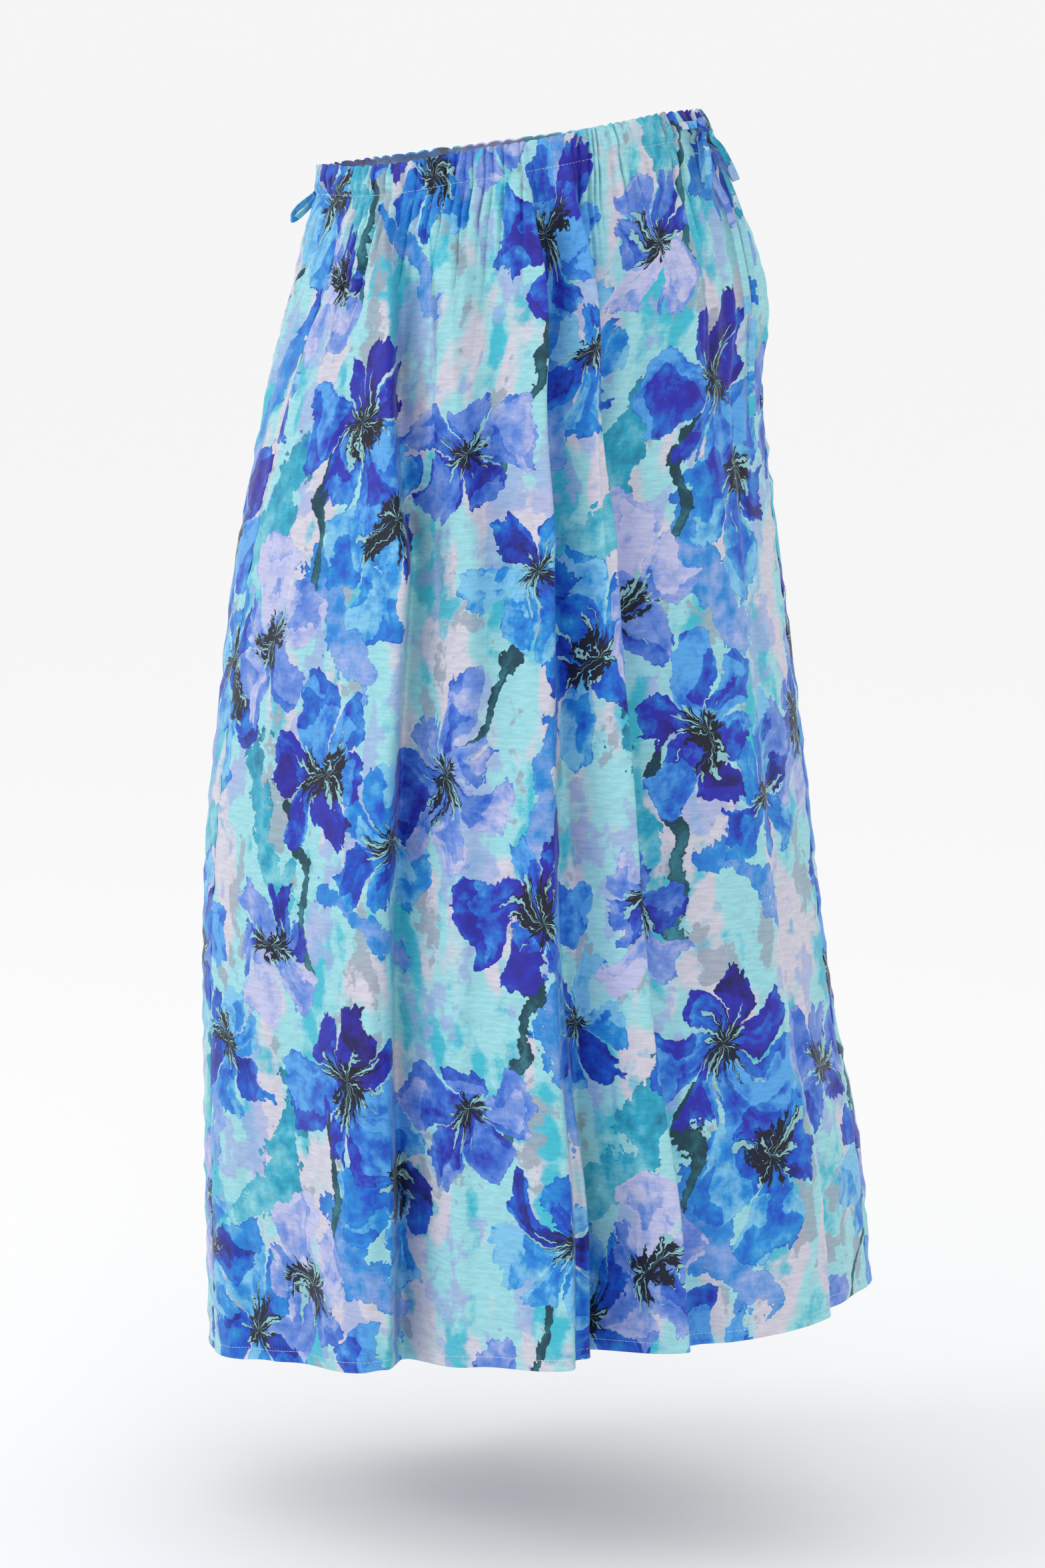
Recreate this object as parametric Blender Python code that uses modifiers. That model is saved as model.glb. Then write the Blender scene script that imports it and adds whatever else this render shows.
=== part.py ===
"""A gathered a-line skirt with a drawstring casing, side seam pockets and a bow at each side.

The skirt keeps its worn, hollow form. The origin is the centre of the waist's top edge,
+X is the wearer's left, -Y is the front and +Z is up. All sizes are in metres.
Angles run round the waist in degrees, seen from above: 0 is +X and 270 is the front.
A drop is the distance below the tilted plane of the waist's top edge.
"""
import math

import bmesh
import bpy
import numpy as np
from mathutils import Vector

COLLECTION = "a_line_skirt"

# Driving dimensions
LENGTH = 0.915
HIP_TILT = 0.135
CASING_HEIGHT = 0.022
PANEL_WALL = 0.0016
CASING_WALL = 0.0026
SEAM_GAP = 0.00045

# Gathers: how many each panel has at the casing, and how deep they are down the cloth
FRONT_GATHERS = 44
BACK_GATHERS = 44
COLUMNS_PER_GATHER = 4
GATHER_DEPTHS = (
    # drop, depth
    (0.000, 0.0010),
    (0.011, 0.0014),
    (0.022, 0.0010),
    (0.040, 0.0017),
    (0.080, 0.0010),
    (0.130, 0.0003),
    (0.180, 0.0000),
)
GATHER_UNEVENNESS = (
    # amount, rate in radians a gather, phase
    (0.30, 2.10, 0.0),
    (0.22, 0.83, 1.0),
)
CASING_PUFF = (
    # drop, outward puff of the cloth above and below the casing's stitch line
    (0.000, -0.0006),
    (0.011, 0.0010),
    (0.022, -0.0010),
    (0.040, 0.0008),
    (0.080, 0.0000),
)

# The body of the skirt: plain oval sections, before its folds
SECTIONS = (
    # drop, half width, front depth, back depth, shift to the left side, shift to the back
    (0.000, 0.1495, 0.105, 0.105, 0.0000, 0.000),
    (0.022, 0.1530, 0.110, 0.112, 0.0030, 0.000),
    (0.050, 0.1608, 0.117, 0.122, 0.0032, 0.001),
    (0.100, 0.1775, 0.126, 0.137, 0.0045, 0.003),
    (0.150, 0.1900, 0.132, 0.148, 0.0015, 0.004),
    (0.200, 0.1940, 0.135, 0.155, -0.0055, 0.005),
    (0.300, 0.2095, 0.140, 0.163, -0.0110, 0.005),
    (0.400, 0.2225, 0.145, 0.170, -0.0115, 0.005),
    (0.500, 0.2345, 0.149, 0.177, -0.0110, 0.004),
    (0.600, 0.2420, 0.153, 0.184, -0.0075, 0.003),
    (0.700, 0.2485, 0.156, 0.190, -0.0005, 0.002),
    (0.800, 0.2580, 0.159, 0.195, 0.0100, 0.001),
    (0.915, 0.2615, 0.162, 0.200, 0.0165, 0.000),
)

# Where the side seams run: the right one has swung to the front
SEAMS = (
    # drop, angle of the right seam, angle of the left seam
    (0.000, 231.0, 372.0),
    (0.100, 226.0, 373.0),
    (0.200, 219.0, 374.0),
    (0.350, 213.0, 374.0),
    (0.600, 208.0, 374.0),
    (0.915, 204.0, 374.0),
)

# Folds that run from the casing to the hem: a ridge has a positive depth, a valley a negative one.
# Widths are the degrees from a fold's middle to each side of it, as seen from outside.
FOLDS = (
    # angle at casing, at thigh, at hem, left width, right width, depth at hip, at knee, at hem
    (238.0, 238.0, 234.0, 20.0, 20.0, 0.003, 0.004, -0.014),
    (245.5, 262.5, 252.0, 18.0, 4.5, 0.010, 0.014, 0.009),
    (249.5, 267.5, 261.5, 4.5, 11.0, -0.009, -0.015, -0.036),
    (262.0, 276.5, 279.0, 9.0, 9.0, 0.007, 0.009, 0.002),
    (274.0, 284.5, 274.0, 7.0, 7.0, -0.005, -0.006, -0.002),
    (287.0, 293.0, 286.5, 13.0, 4.5, 0.010, 0.014, 0.032),
    (292.0, 298.0, 297.0, 4.5, 7.0, -0.011, -0.017, -0.032),
    (299.0, 306.5, 307.0, 7.0, 4.0, 0.010, 0.013, 0.020),
    (303.5, 311.0, 317.0, 4.5, 13.0, -0.009, -0.012, 0.010),
    (322.0, 330.0, 334.0, 24.0, 24.0, 0.004, 0.008, 0.014),
    (345.0, 352.0, 355.0, 20.0, 20.0, -0.003, -0.005, -0.010),
    (18.0, 20.0, 20.0, 15.0, 15.0, 0.004, 0.007, 0.010),
    (36.0, 36.0, 35.0, 14.0, 13.0, -0.007, -0.012, -0.018),
    (50.0, 50.0, 50.0, 15.0, 12.0, 0.008, 0.014, 0.024),
    (65.0, 66.0, 67.0, 11.0, 15.0, -0.007, -0.013, -0.022),
    (79.0, 80.0, 82.0, 16.0, 12.0, 0.009, 0.015, 0.026),
    (95.0, 95.0, 97.0, 12.0, 15.0, -0.008, -0.014, -0.024),
    (110.0, 110.0, 111.0, 15.0, 12.0, 0.007, 0.013, 0.022),
    (125.0, 126.0, 127.0, 12.0, 15.0, -0.007, -0.012, -0.020),
    (140.0, 140.0, 141.0, 15.0, 14.0, 0.007, 0.011, 0.019),
    (160.0, 158.0, 157.0, 15.0, 15.0, -0.005, -0.008, -0.014),
    (178.0, 176.0, 175.0, 15.0, 15.0, 0.003, 0.006, 0.010),
)
FOLD_STARTS = (
    # share of the hip's drop, share of the depth at the hip
    (0.00, 0.00),
    (0.10, 0.10),
    (0.45, 0.65),
)
HIP_DROP = 0.130
THIGH_DROP = 0.300
KNEE_DROP = 0.450
FOLD_LEAN = 0.60

# Rows of the panels: the upper ones take every gather's curve, the lower ones only its peaks
UPPER_ROWS = (0.0, 0.011, 0.022, 0.040, 0.070)
LOWER_ROWS = (0.110, 0.160, 0.230, 0.320, 0.420, 0.540, 0.670, 0.800, 0.915)

# The waist's edge is not quite in one plane: angle, and how far the cloth sits under the plane
TOP_LINE = (
    (90.0, 0.0000),
    (140.0, 0.0010),
    (180.0, 0.0015),
    (215.0, 0.0020),
    (232.0, 0.0056),
    (250.0, 0.0072),
    (270.0, 0.0048),
    (290.0, 0.0030),
    (307.0, 0.0000),
    (320.0, -0.0026),
    (335.0, -0.0048),
    (350.0, -0.0042),
    (375.0, -0.0036),
    (410.0, -0.0020),
    (450.0, 0.0000),
)
TOP_LINE_KEPT_TO = 0.030
TOP_LINE_GONE_BY = 0.200

# Pockets in the side seams: the left mouth stands open a little, the right one lies shut
MOUTH_TOP = 0.062
MOUTH_BOTTOM = 0.215
LEFT_MOUTH_GAPE = 0.006
MOUTH_DRAW = 1.2
MOUTH_SPREAD = 12.0
MOUTH_ROUNDNESS = 0.7
BAG_TOP = 0.070
BAG_BOTTOM = 0.320
BAG_COLUMNS = 11
BAG_CUT_COLUMNS = 4
BAG_WALL = 0.0016
BAG_GAP = 0.0007

# Drawstring ties: flat strips of the skirt's own cloth, knotted in a bow at each side
TIE_WIDTH = 0.006
TIE_THICKNESS = 0.0014
KNOT_HALF_SIZES = (0.0042, 0.0045, 0.0055)
KNOT_LIFT = 0.0078
KNOT_DROP = 0.0115
KNOT_SEGMENTS = 14
KNOT_RINGS = 8
LEFT_KNOT_ANGLE = -10.0
RIGHT_KNOT_ANGLE = 169.0
LOOP_STATIONS = 19
LOOP_END_GAP = 0.0010
LOOP_HALF_GAP = 0.0032
TAIL_STATIONS = 34
LEAD_STATIONS = 5

# The ties' routes, in degrees from the knot towards the back, drop and height over the cloth
SHORT_TAIL = (
    (1.5, 0.0167, 0.0077),
    (4.4, 0.0242, 0.0069),
    (4.2, 0.0431, 0.0058),
    (5.2, 0.0580, 0.0054),
    (5.6, 0.0720, 0.0058),
    (4.3, 0.0936, 0.0062),
    (4.2, 0.1180, 0.0056),
    (4.5, 0.1525, 0.0052),
)
LONG_TAIL = (
    (0.9, 0.0173, 0.0052),
    (7.8, 0.0270, 0.0048),
    (11.2, 0.0439, 0.0048),
    (13.4, 0.0620, 0.0048),
    (12.6, 0.0780, 0.0054),
    (9.8, 0.0960, 0.0062),
    (9.1, 0.1188, 0.0058),
    (9.2, 0.1436, 0.0054),
    (8.0, 0.1690, 0.0050),
    (9.6, 0.1980, 0.0050),
    (10.0, 0.2293, 0.0050),
)
FRONT_LEAD = (
    (-8.0, 0.0110, 0.0003),
    (-5.4, 0.0110, 0.0050),
    (-2.55, 0.0110, 0.0078),
)
BACK_LEAD = (
    (8.0, 0.0110, 0.0019),
    (5.4, 0.0110, 0.0056),
    (2.55, 0.0110, 0.0078),
)
LOOPS = (
    # side and name, angle and drop at the knot, angle, drop and height at the tip, twist in degrees
    ("left_tie_loop_front", -1.6, 0.0169, -5.0, 0.0590, 0.0090, 30.0),
    ("left_tie_loop_back", 1.4, 0.0162, 9.5, 0.0553, 0.0160, 60.0),
    ("right_tie_loop_front", -1.2, 0.0165, -17.0, 0.0385, 0.0160, 15.0),
    ("right_tie_loop_back", 1.3, 0.0162, 9.5, 0.0455, 0.0182, 48.0),
)
LOOP_START_LIFT = 0.0108
TAIL_TWIST = 45.0
TWIST_BEGINS = 0.10
TWIST_FULL = 0.40
ARC_PER_DEGREE = 0.00186

CLOTH_COLOUR = (0.42, 0.66, 0.86, 1.0)
TIE_COLOUR = (0.20, 0.42, 0.78, 1.0)
CLOTH_ROUGHNESS = 0.62

# How the columns are shared out: mostly by the length of cloth at the knee
SPACING_SAMPLES = 1201
ARC_SHARE = 0.7

BACK_MIDDLE = 90.0
PROBE = 0.01


def reset_file():
    """Removes every object, so the file holds the skirt alone."""
    for thing in list(bpy.data.objects):
        bpy.data.objects.remove(thing, do_unlink=True)


def smooth(rows, column, at):
    """One column of a table as a smooth curve through its rows, by their first column."""
    places = np.array([row[0] for row in rows], dtype=float)
    values = np.array([row[column] for row in rows], dtype=float)
    slopes = np.gradient(values, places)
    at = np.clip(at, places[0], places[-1])
    index = np.clip(np.searchsorted(places, at) - 1, 0, len(places) - 2)
    step = places[index + 1] - places[index]
    t = (at - places[index]) / step
    start = (1 + 2 * t) * (1 - t) ** 2 * values[index]
    leave = t * (1 - t) ** 2 * step * slopes[index]
    end = t * t * (3 - 2 * t) * values[index + 1]
    arrive = t * t * (t - 1) * step * slopes[index + 1]
    return start + leave + end + arrive


def fold_height(angles, drop):
    """How far the folds push the cloth out or in, at each angle of one section."""
    total = np.zeros_like(angles)
    for casing, thigh, hem, left, right, hip_depth, knee_depth, hem_depth in FOLDS:
        middle = np.interp(drop, (0.0, THIGH_DROP, LENGTH), (casing, thigh, hem))
        depths = [(down * HIP_DROP, share * hip_depth) for down, share in FOLD_STARTS]
        depths += [(HIP_DROP, hip_depth), (KNEE_DROP, knee_depth), (LENGTH, hem_depth)]
        away = (angles - middle + 180.0) % 360.0 - 180.0
        reach = np.clip(np.abs(away) / np.where(away < 0.0, left, right), 0.0, 1.0)
        total += smooth(depths, 1, drop) * np.cos(reach * math.pi / 2) ** 2
    return total


def section(angles, drop, lift=0.0):
    """Plan points of the cloth's outer face at the angles, moved out by lift."""
    turn = np.radians(angles)
    cosine, sine = np.cos(turn), np.sin(turn)
    half_width = smooth(SECTIONS, 1, drop)
    depth = np.where(sine < 0, smooth(SECTIONS, 2, drop), smooth(SECTIONS, 3, drop))
    across = smooth(SECTIONS, 4, drop) + half_width * cosine
    back = smooth(SECTIONS, 5, drop) + depth * sine
    out_x, out_y = depth * cosine, half_width * sine
    size = np.hypot(out_x, out_y)
    out_x, out_y = out_x / size, out_y / size
    height = fold_height(angles, drop)
    slide = FOLD_LEAN * height
    x = across + out_x * (height + lift) - out_y * slide
    y = back + out_y * (height + lift) + out_x * slide
    return x, y


def mouth_opening(angles, drop):
    """How open the left pocket's mouth is at each angle of the front panel, from 0, shut, to 1."""
    if not MOUTH_TOP < drop < MOUTH_BOTTOM:
        return np.zeros_like(angles)
    down = (drop - MOUTH_TOP) / (MOUTH_BOTTOM - MOUTH_TOP)
    rise = math.sin(math.pi * down) ** MOUTH_ROUNDNESS
    from_seam = np.clip((smooth(SEAMS, 2, drop) - angles) / MOUTH_SPREAD, 0.0, 1.0)
    return rise * (1.0 - from_seam) ** 2


def sag(angles, drop):
    """How far the cloth sits under the waist's tilted plane, less and less further down."""
    down = np.clip((drop - TOP_LINE_KEPT_TO) / (TOP_LINE_GONE_BY - TOP_LINE_KEPT_TO), 0.0, 1.0)
    turned = (angles - BACK_MIDDLE) % 360.0 + BACK_MIDDLE
    return smooth(TOP_LINE, 1, turned) * (1.0 - down * down * (3.0 - 2.0 * down))


def on_cloth(angle, drop, lift):
    """A point over the cloth, as a Vector. The angle may be given a whole turn less."""
    turns = np.array([float(angle)])
    lift = lift + smooth(CASING_PUFF, 1, drop)
    if angle < BACK_MIDDLE:
        lift = lift + LEFT_MOUTH_GAPE * mouth_opening(turns + 360.0, drop)
    x, y = section(turns, drop, lift)
    return Vector((x[0], y[0], HIP_TILT * x[0] - drop - sag(turns, drop)[0]))


def outward(angle, drop):
    """The level direction straight out of the plain oval section."""
    near = on_cloth(angle, drop, 0.0)
    far = on_cloth(angle, drop, PROBE)
    return (far - near).normalized()


def seam_angles(panel, drop):
    """The angles of a panel's two seams at a drop, in the direction of travel."""
    right, left = smooth(SEAMS, 1, drop), smooth(SEAMS, 2, drop)
    return (right, left) if panel == "front" else (left, right + 360.0)


def spacing(panel, count):
    """Shares of a panel's angle at its columns, closer together where the folds hold cloth."""
    start, end = seam_angles(panel, KNEE_DROP)
    share = np.linspace(0.0, 1.0, SPACING_SAMPLES)
    x, y = section(start + (end - start) * share, KNEE_DROP)
    along = np.concatenate(([0.0], np.cumsum(np.hypot(np.diff(x), np.diff(y)))))
    mixed = ARC_SHARE * along / along[-1] + (1.0 - ARC_SHARE) * share
    return np.interp(np.linspace(0.0, 1.0, count + 1), mixed, share)


def panel_row(panel, drop, shares, gathers, gapes=True):
    """One row of a panel's outer face, from seam to seam, as points."""
    start, end = seam_angles(panel, drop)
    column = np.linspace(0.0, gathers, len(shares))
    uneven = 1.0 + sum(amount * np.sin(rate * column + phase) for amount, rate, phase in GATHER_UNEVENNESS)
    from_seam = np.clip(np.minimum(column, gathers - column), 0.0, 1.0)
    ripple = smooth(GATHER_DEPTHS, 1, drop) * uneven * from_seam * np.sin(2 * math.pi * column)
    angles = start + (end - start) * shares
    opening = mouth_opening(angles, drop) if gapes and panel == "front" else np.zeros_like(angles)
    angles = angles - MOUTH_DRAW * opening
    lift = ripple + smooth(CASING_PUFF, 1, drop) + LEFT_MOUTH_GAPE * opening
    x, y = section(angles, drop, lift)
    for edge, inner in ((0, 1), (-1, -2)):
        inwards = np.array((x[inner] - x[edge], y[inner] - y[edge]))
        inwards *= 0.5 * SEAM_GAP / np.hypot(*inwards)
        x[edge] += inwards[0]
        y[edge] += inwards[1]
    z = HIP_TILT * x - drop - sag(angles, drop)
    return [Vector(point) for point in zip(x, y, z)]


def peaks_only(points):
    """A row with half its columns: the seams, and the crests and hollows of the gathers."""
    return [points[0]] + points[3:-1:2] + [points[-1]]


def join_rows(mesh, above, below):
    """Joins two rows of vertices with faces; the lower one may have half the columns."""
    halved = len(above) > len(below)
    for j in range(len(below) - 1):
        if not halved:
            mesh.faces.new((above[j], below[j], below[j + 1], above[j + 1]))
            continue
        left, middle, right = above[2 * j:2 * j + 3]
        mesh.faces.new((left, below[j], middle))
        mesh.faces.new((middle, below[j], below[j + 1]))
        mesh.faces.new((middle, below[j + 1], right))


def fabric(name, colour):
    """A woven cloth's plain material."""
    material = bpy.data.materials.new(name + "_fabric")
    material.use_nodes = True
    shader = material.node_tree.nodes["Principled BSDF"]
    shader.inputs["Base Color"].default_value = colour
    shader.inputs["Roughness"].default_value = CLOTH_ROUGHNESS
    shader.inputs["Metallic"].default_value = 0.0
    return material


def new_object(name, mesh, colour, collection):
    """Makes a named object with its own fabric material."""
    data = bpy.data.meshes.new(name)
    mesh.to_mesh(data)
    mesh.free()
    data.materials.append(fabric(name, colour))
    data.shade_smooth()
    thing = bpy.data.objects.new(name, data)
    collection.objects.link(thing)
    return thing


def thicken(thing, thickness, offset, group=""):
    """Gives an open surface its wall."""
    wall = thing.modifiers.new("wall", "SOLIDIFY")
    wall.thickness = thickness
    wall.offset = offset
    wall.use_even_offset = False
    wall.vertex_group = group


def cloth_panel(panel, gathers, collection):
    """A panel of the skirt, with the casing folded over at its top."""
    shares = spacing(panel, gathers * COLUMNS_PER_GATHER)
    rows = [panel_row(panel, drop, shares, gathers) for drop in UPPER_ROWS]
    rows += [peaks_only(panel_row(panel, drop, shares, gathers)) for drop in LOWER_ROWS]
    mesh = bmesh.new()
    verts = [[mesh.verts.new(point) for point in row] for row in rows]
    for above, below in zip(verts, verts[1:]):
        join_rows(mesh, above, below)
    thing = new_object(panel + "_panel", mesh, CLOTH_COLOUR, collection)
    doubled = sum(len(row) for row, drop in zip(rows, UPPER_ROWS) if drop <= CASING_HEIGHT)
    layers = thing.vertex_groups.new(name="layers")
    layers.add(list(range(doubled)), 1.0, "REPLACE")
    layers.add(list(range(doubled, len(thing.data.vertices))), PANEL_WALL / CASING_WALL, "REPLACE")
    thicken(thing, CASING_WALL, -1.0, "layers")


def pocket_bag(name, at_left_seam, collection):
    """A pocket's flat bag, which hangs from its seam inside the front panel."""
    shares = spacing("front", FRONT_GATHERS * COLUMNS_PER_GATHER)
    drops = [drop for drop in (UPPER_ROWS + LOWER_ROWS) if BAG_TOP <= drop <= BAG_BOTTOM]
    mesh = bmesh.new()
    verts = []
    for drop in drops:
        row = peaks_only(panel_row("front", drop, shares, FRONT_GATHERS, gapes=False))
        if at_left_seam:
            row.reverse()
        inset = []
        for j in range(BAG_COLUMNS + 1):
            along = row[j + 1] - row[max(j - 1, 0)]
            along.z = 0.0
            inwards = along.normalized().cross(Vector((0.0, 0.0, -1.0 if at_left_seam else 1.0)))
            inset.append(row[j] - inwards * (PANEL_WALL + BAG_GAP))
        if at_left_seam:
            inset.reverse()
        verts.append([mesh.verts.new(point) for point in inset])
    for above, below in zip(verts, verts[1:]):
        join_rows(mesh, above, below)
    corner = verts[-1][:BAG_CUT_COLUMNS] if at_left_seam else verts[-1][-BAG_CUT_COLUMNS:]
    bmesh.ops.delete(mesh, geom=corner, context="VERTS")
    thicken(new_object(name, mesh, CLOTH_COLOUR, collection), BAG_WALL, -1.0)


def route(points, stations, knot_angle, side, twist):
    """Evenly shared places on a smooth curve through a tie's route, as angle, drop, lift and twist."""
    rows = [(index,) + point for index, point in enumerate(points)]
    steps = np.linspace(0.0, len(points) - 1.0, stations)
    away, drops, lifts = (smooth(rows, column, steps) for column in (1, 2, 3))
    turns = side * math.radians(twist) * np.interp(steps / steps[-1], (TWIST_BEGINS, TWIST_FULL), (0.0, 1.0))
    return list(zip(knot_angle + side * away, drops, lifts, turns))


def loop_route(start, tip, twist, knot_angle, side):
    """A bow loop's places: out from the knot over its back, round the tip and in again."""
    places = []
    for u in np.linspace(0.0, 1.0, LOOP_STATIONS):
        reach = math.sin(math.pi * u)
        spread = LOOP_END_GAP * math.cos(math.pi * u) + LOOP_HALF_GAP * math.sin(2 * math.pi * u)
        turn = math.radians(twist) * reach
        away, drop, lift = (a + (b - a) * reach for a, b in zip(start, tip))
        away -= spread * math.sin(turn) / ARC_PER_DEGREE
        places.append((knot_angle + side * away, drop, lift + spread * math.cos(turn), side * turn))
    return places


def tie_strip(name, places, collection):
    """A flat strip of tie cloth along its places, its face to the skirt but for its twist."""
    centres = [on_cloth(*place[:3]) for place in places]
    reach = max((centre - centres[0] for centre in centres), key=lambda step: step.length)
    mesh = bmesh.new()
    edges = []
    for index, (angle, drop, _, twist) in enumerate(places):
        ahead = centres[min(index + 1, len(centres) - 1)]
        behind = centres[max(index - 1, 0)]
        out = outward(angle, drop)
        level = out.cross(reach).normalized() * math.cos(twist) + out * math.sin(twist)
        course = (ahead - behind).normalized()
        across = (level - course * level.dot(course)).normalized() * (0.5 * TIE_WIDTH)
        edges.append((mesh.verts.new(centres[index] - across), mesh.verts.new(centres[index] + across)))
    for here, there in zip(edges, edges[1:]):
        mesh.faces.new((here[0], there[0], there[1], here[1]))
    thicken(new_object(name, mesh, TIE_COLOUR, collection), TIE_THICKNESS, 0.0)


def knot(name, knot_angle, collection):
    """The pulled knot of a bow."""
    mesh = bmesh.new()
    bmesh.ops.create_uvsphere(mesh, u_segments=KNOT_SEGMENTS, v_segments=KNOT_RINGS, radius=1.0)
    bmesh.ops.scale(mesh, vec=KNOT_HALF_SIZES, verts=mesh.verts)
    thing = new_object(name, mesh, TIE_COLOUR, collection)
    thing.location = on_cloth(knot_angle, KNOT_DROP, KNOT_LIFT)
    out = outward(knot_angle, KNOT_DROP)
    thing.rotation_euler.z = math.atan2(out.y, out.x)


def bow(prefix, knot_angle, side, collection):
    """A side's bow: its knot, two leads from the casing, two loops and two tails."""
    knot(prefix + "_tie_knot", knot_angle, collection)
    strips = (("lead_front", FRONT_LEAD, LEAD_STATIONS, 0.0), ("lead_back", BACK_LEAD, LEAD_STATIONS, 0.0),
              ("tail_short", SHORT_TAIL, TAIL_STATIONS, TAIL_TWIST),
              ("tail_long", LONG_TAIL, TAIL_STATIONS, TAIL_TWIST))
    for name, points, stations, twist in strips:
        tie_strip(f"{prefix}_tie_{name}", route(points, stations, knot_angle, side, twist), collection)
    for name, angle, drop, tip_angle, tip_drop, tip_lift, twist in LOOPS:
        if name.startswith(prefix):
            start, tip = (angle, drop, LOOP_START_LIFT), (tip_angle, tip_drop, tip_lift)
            tie_strip(name, loop_route(start, tip, twist, knot_angle, side), collection)


def main():
    reset_file()
    collection = bpy.data.collections.new(COLLECTION)
    bpy.context.scene.collection.children.link(collection)
    cloth_panel("front", FRONT_GATHERS, collection)
    cloth_panel("back", BACK_GATHERS, collection)
    pocket_bag("left_pocket_bag", True, collection)
    pocket_bag("right_pocket_bag", False, collection)
    bow("left", LEFT_KNOT_ANGLE, 1.0, collection)
    bow("right", RIGHT_KNOT_ANGLE, -1.0, collection)


main()
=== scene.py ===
"""The looks of a worn a-line skirt: printed crinkled cloth, gathered on a drawstring, tied at each side.

The origin is the centre of the waist's top edge, +X is the wearer's left, -Y is the front and
+Z is up. All sizes are in metres. Angles run round the waist in degrees, seen from above:
0 is +X and 270 is the front. A drop is the distance below the waist's tilted top edge.
"""

import math

import bpy
import numpy as np
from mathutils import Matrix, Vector


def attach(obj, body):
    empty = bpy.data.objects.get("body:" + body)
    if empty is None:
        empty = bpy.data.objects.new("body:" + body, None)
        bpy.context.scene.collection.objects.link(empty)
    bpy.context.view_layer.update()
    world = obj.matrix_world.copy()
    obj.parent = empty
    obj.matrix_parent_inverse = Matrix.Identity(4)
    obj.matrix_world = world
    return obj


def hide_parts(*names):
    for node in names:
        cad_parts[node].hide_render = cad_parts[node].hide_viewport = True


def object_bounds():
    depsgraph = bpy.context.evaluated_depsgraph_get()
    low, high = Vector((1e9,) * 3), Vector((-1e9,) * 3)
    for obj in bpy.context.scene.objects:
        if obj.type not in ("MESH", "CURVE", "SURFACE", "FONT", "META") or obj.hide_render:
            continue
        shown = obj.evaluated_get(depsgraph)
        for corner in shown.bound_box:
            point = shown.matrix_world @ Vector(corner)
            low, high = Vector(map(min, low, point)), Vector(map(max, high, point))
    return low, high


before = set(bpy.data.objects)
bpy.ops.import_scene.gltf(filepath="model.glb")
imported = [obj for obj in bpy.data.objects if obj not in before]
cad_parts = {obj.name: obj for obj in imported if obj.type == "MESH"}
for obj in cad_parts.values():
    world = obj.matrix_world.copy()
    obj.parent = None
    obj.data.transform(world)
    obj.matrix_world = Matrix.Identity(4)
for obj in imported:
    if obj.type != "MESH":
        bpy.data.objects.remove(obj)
cad_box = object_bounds()

# The photograph's camera: the origin's pixel, the lens in pixels, and where it stands
IMAGE_WIDTH, IMAGE_HEIGHT = 1568, 2352
FOCAL_PIXELS = 8308.0
CAMERA_DISTANCE = 4.2
CAMERA_HEIGHT = 0.2
CAMERA_AZIMUTH = 20.0
ORIGIN_X, ORIGIN_Y = 763.5, 209.0
SENSOR_HEIGHT = 24.0

# The skirt's driving dimensions, as in the part's source
LENGTH = 0.915
HIP_TILT = 0.135
CASING_HEIGHT = 0.022
SEAM_GAP = 0.00045
GATHERS = 44
GATHER_DEPTHS = (
    # drop, depth
    (0.000, 0.0010),
    (0.005, 0.0012),
    (0.012, 0.0016),
    (0.019, 0.0016),
    (0.0225, 0.0008),
    (0.028, 0.0020),
    (0.040, 0.0024),
    (0.065, 0.0014),
    (0.090, 0.0006),
    (0.120, 0.0000),
)
# How far each gather wanders in gathers, and the ranges of their strengths and lengths
GATHER_SHIFT = 0.42
GATHER_SPREAD = (0.25, 1.45)
GATHER_LENGTHS = (0.5, 1.9)
GATHER_SHARPNESS = 0.62
GATHER_MIDDLE = 1.25
HEADING = 0.0012
CASING_PUFF = (
    # drop, outward puff of the cloth above and below the casing's stitch line
    (0.000, -0.0008),
    (0.004, 0.0004),
    (0.011, 0.0012),
    (0.018, 0.0008),
    (0.0225, -0.0014),
    (0.028, 0.0002),
    (0.040, 0.0010),
    (0.080, 0.0000),
)
SECTIONS = (
    # drop, half width, front depth, back depth, shift to the left side, shift to the back
    (0.000, 0.1495, 0.105, 0.105, 0.0000, 0.000),
    (0.022, 0.1530, 0.110, 0.112, 0.0030, 0.000),
    (0.050, 0.1608, 0.117, 0.122, 0.0032, 0.001),
    (0.100, 0.1775, 0.126, 0.137, 0.0045, 0.003),
    (0.150, 0.1900, 0.132, 0.148, 0.0015, 0.004),
    (0.200, 0.1940, 0.135, 0.155, -0.0055, 0.005),
    (0.300, 0.2095, 0.140, 0.163, -0.0110, 0.005),
    (0.400, 0.2225, 0.145, 0.170, -0.0115, 0.005),
    (0.500, 0.2345, 0.149, 0.177, -0.0110, 0.004),
    (0.600, 0.2420, 0.153, 0.184, -0.0075, 0.003),
    (0.700, 0.2485, 0.156, 0.190, -0.0005, 0.002),
    (0.800, 0.2580, 0.159, 0.195, 0.0100, 0.001),
    (0.915, 0.2615, 0.162, 0.200, 0.0165, 0.000),
)
SEAMS = (
    # drop, angle of the right seam, angle of the left seam
    (0.000, 231.0, 372.0),
    (0.100, 226.0, 373.0),
    (0.200, 219.0, 374.0),
    (0.350, 213.0, 374.0),
    (0.600, 208.0, 374.0),
    (0.915, 204.0, 374.0),
)
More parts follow.
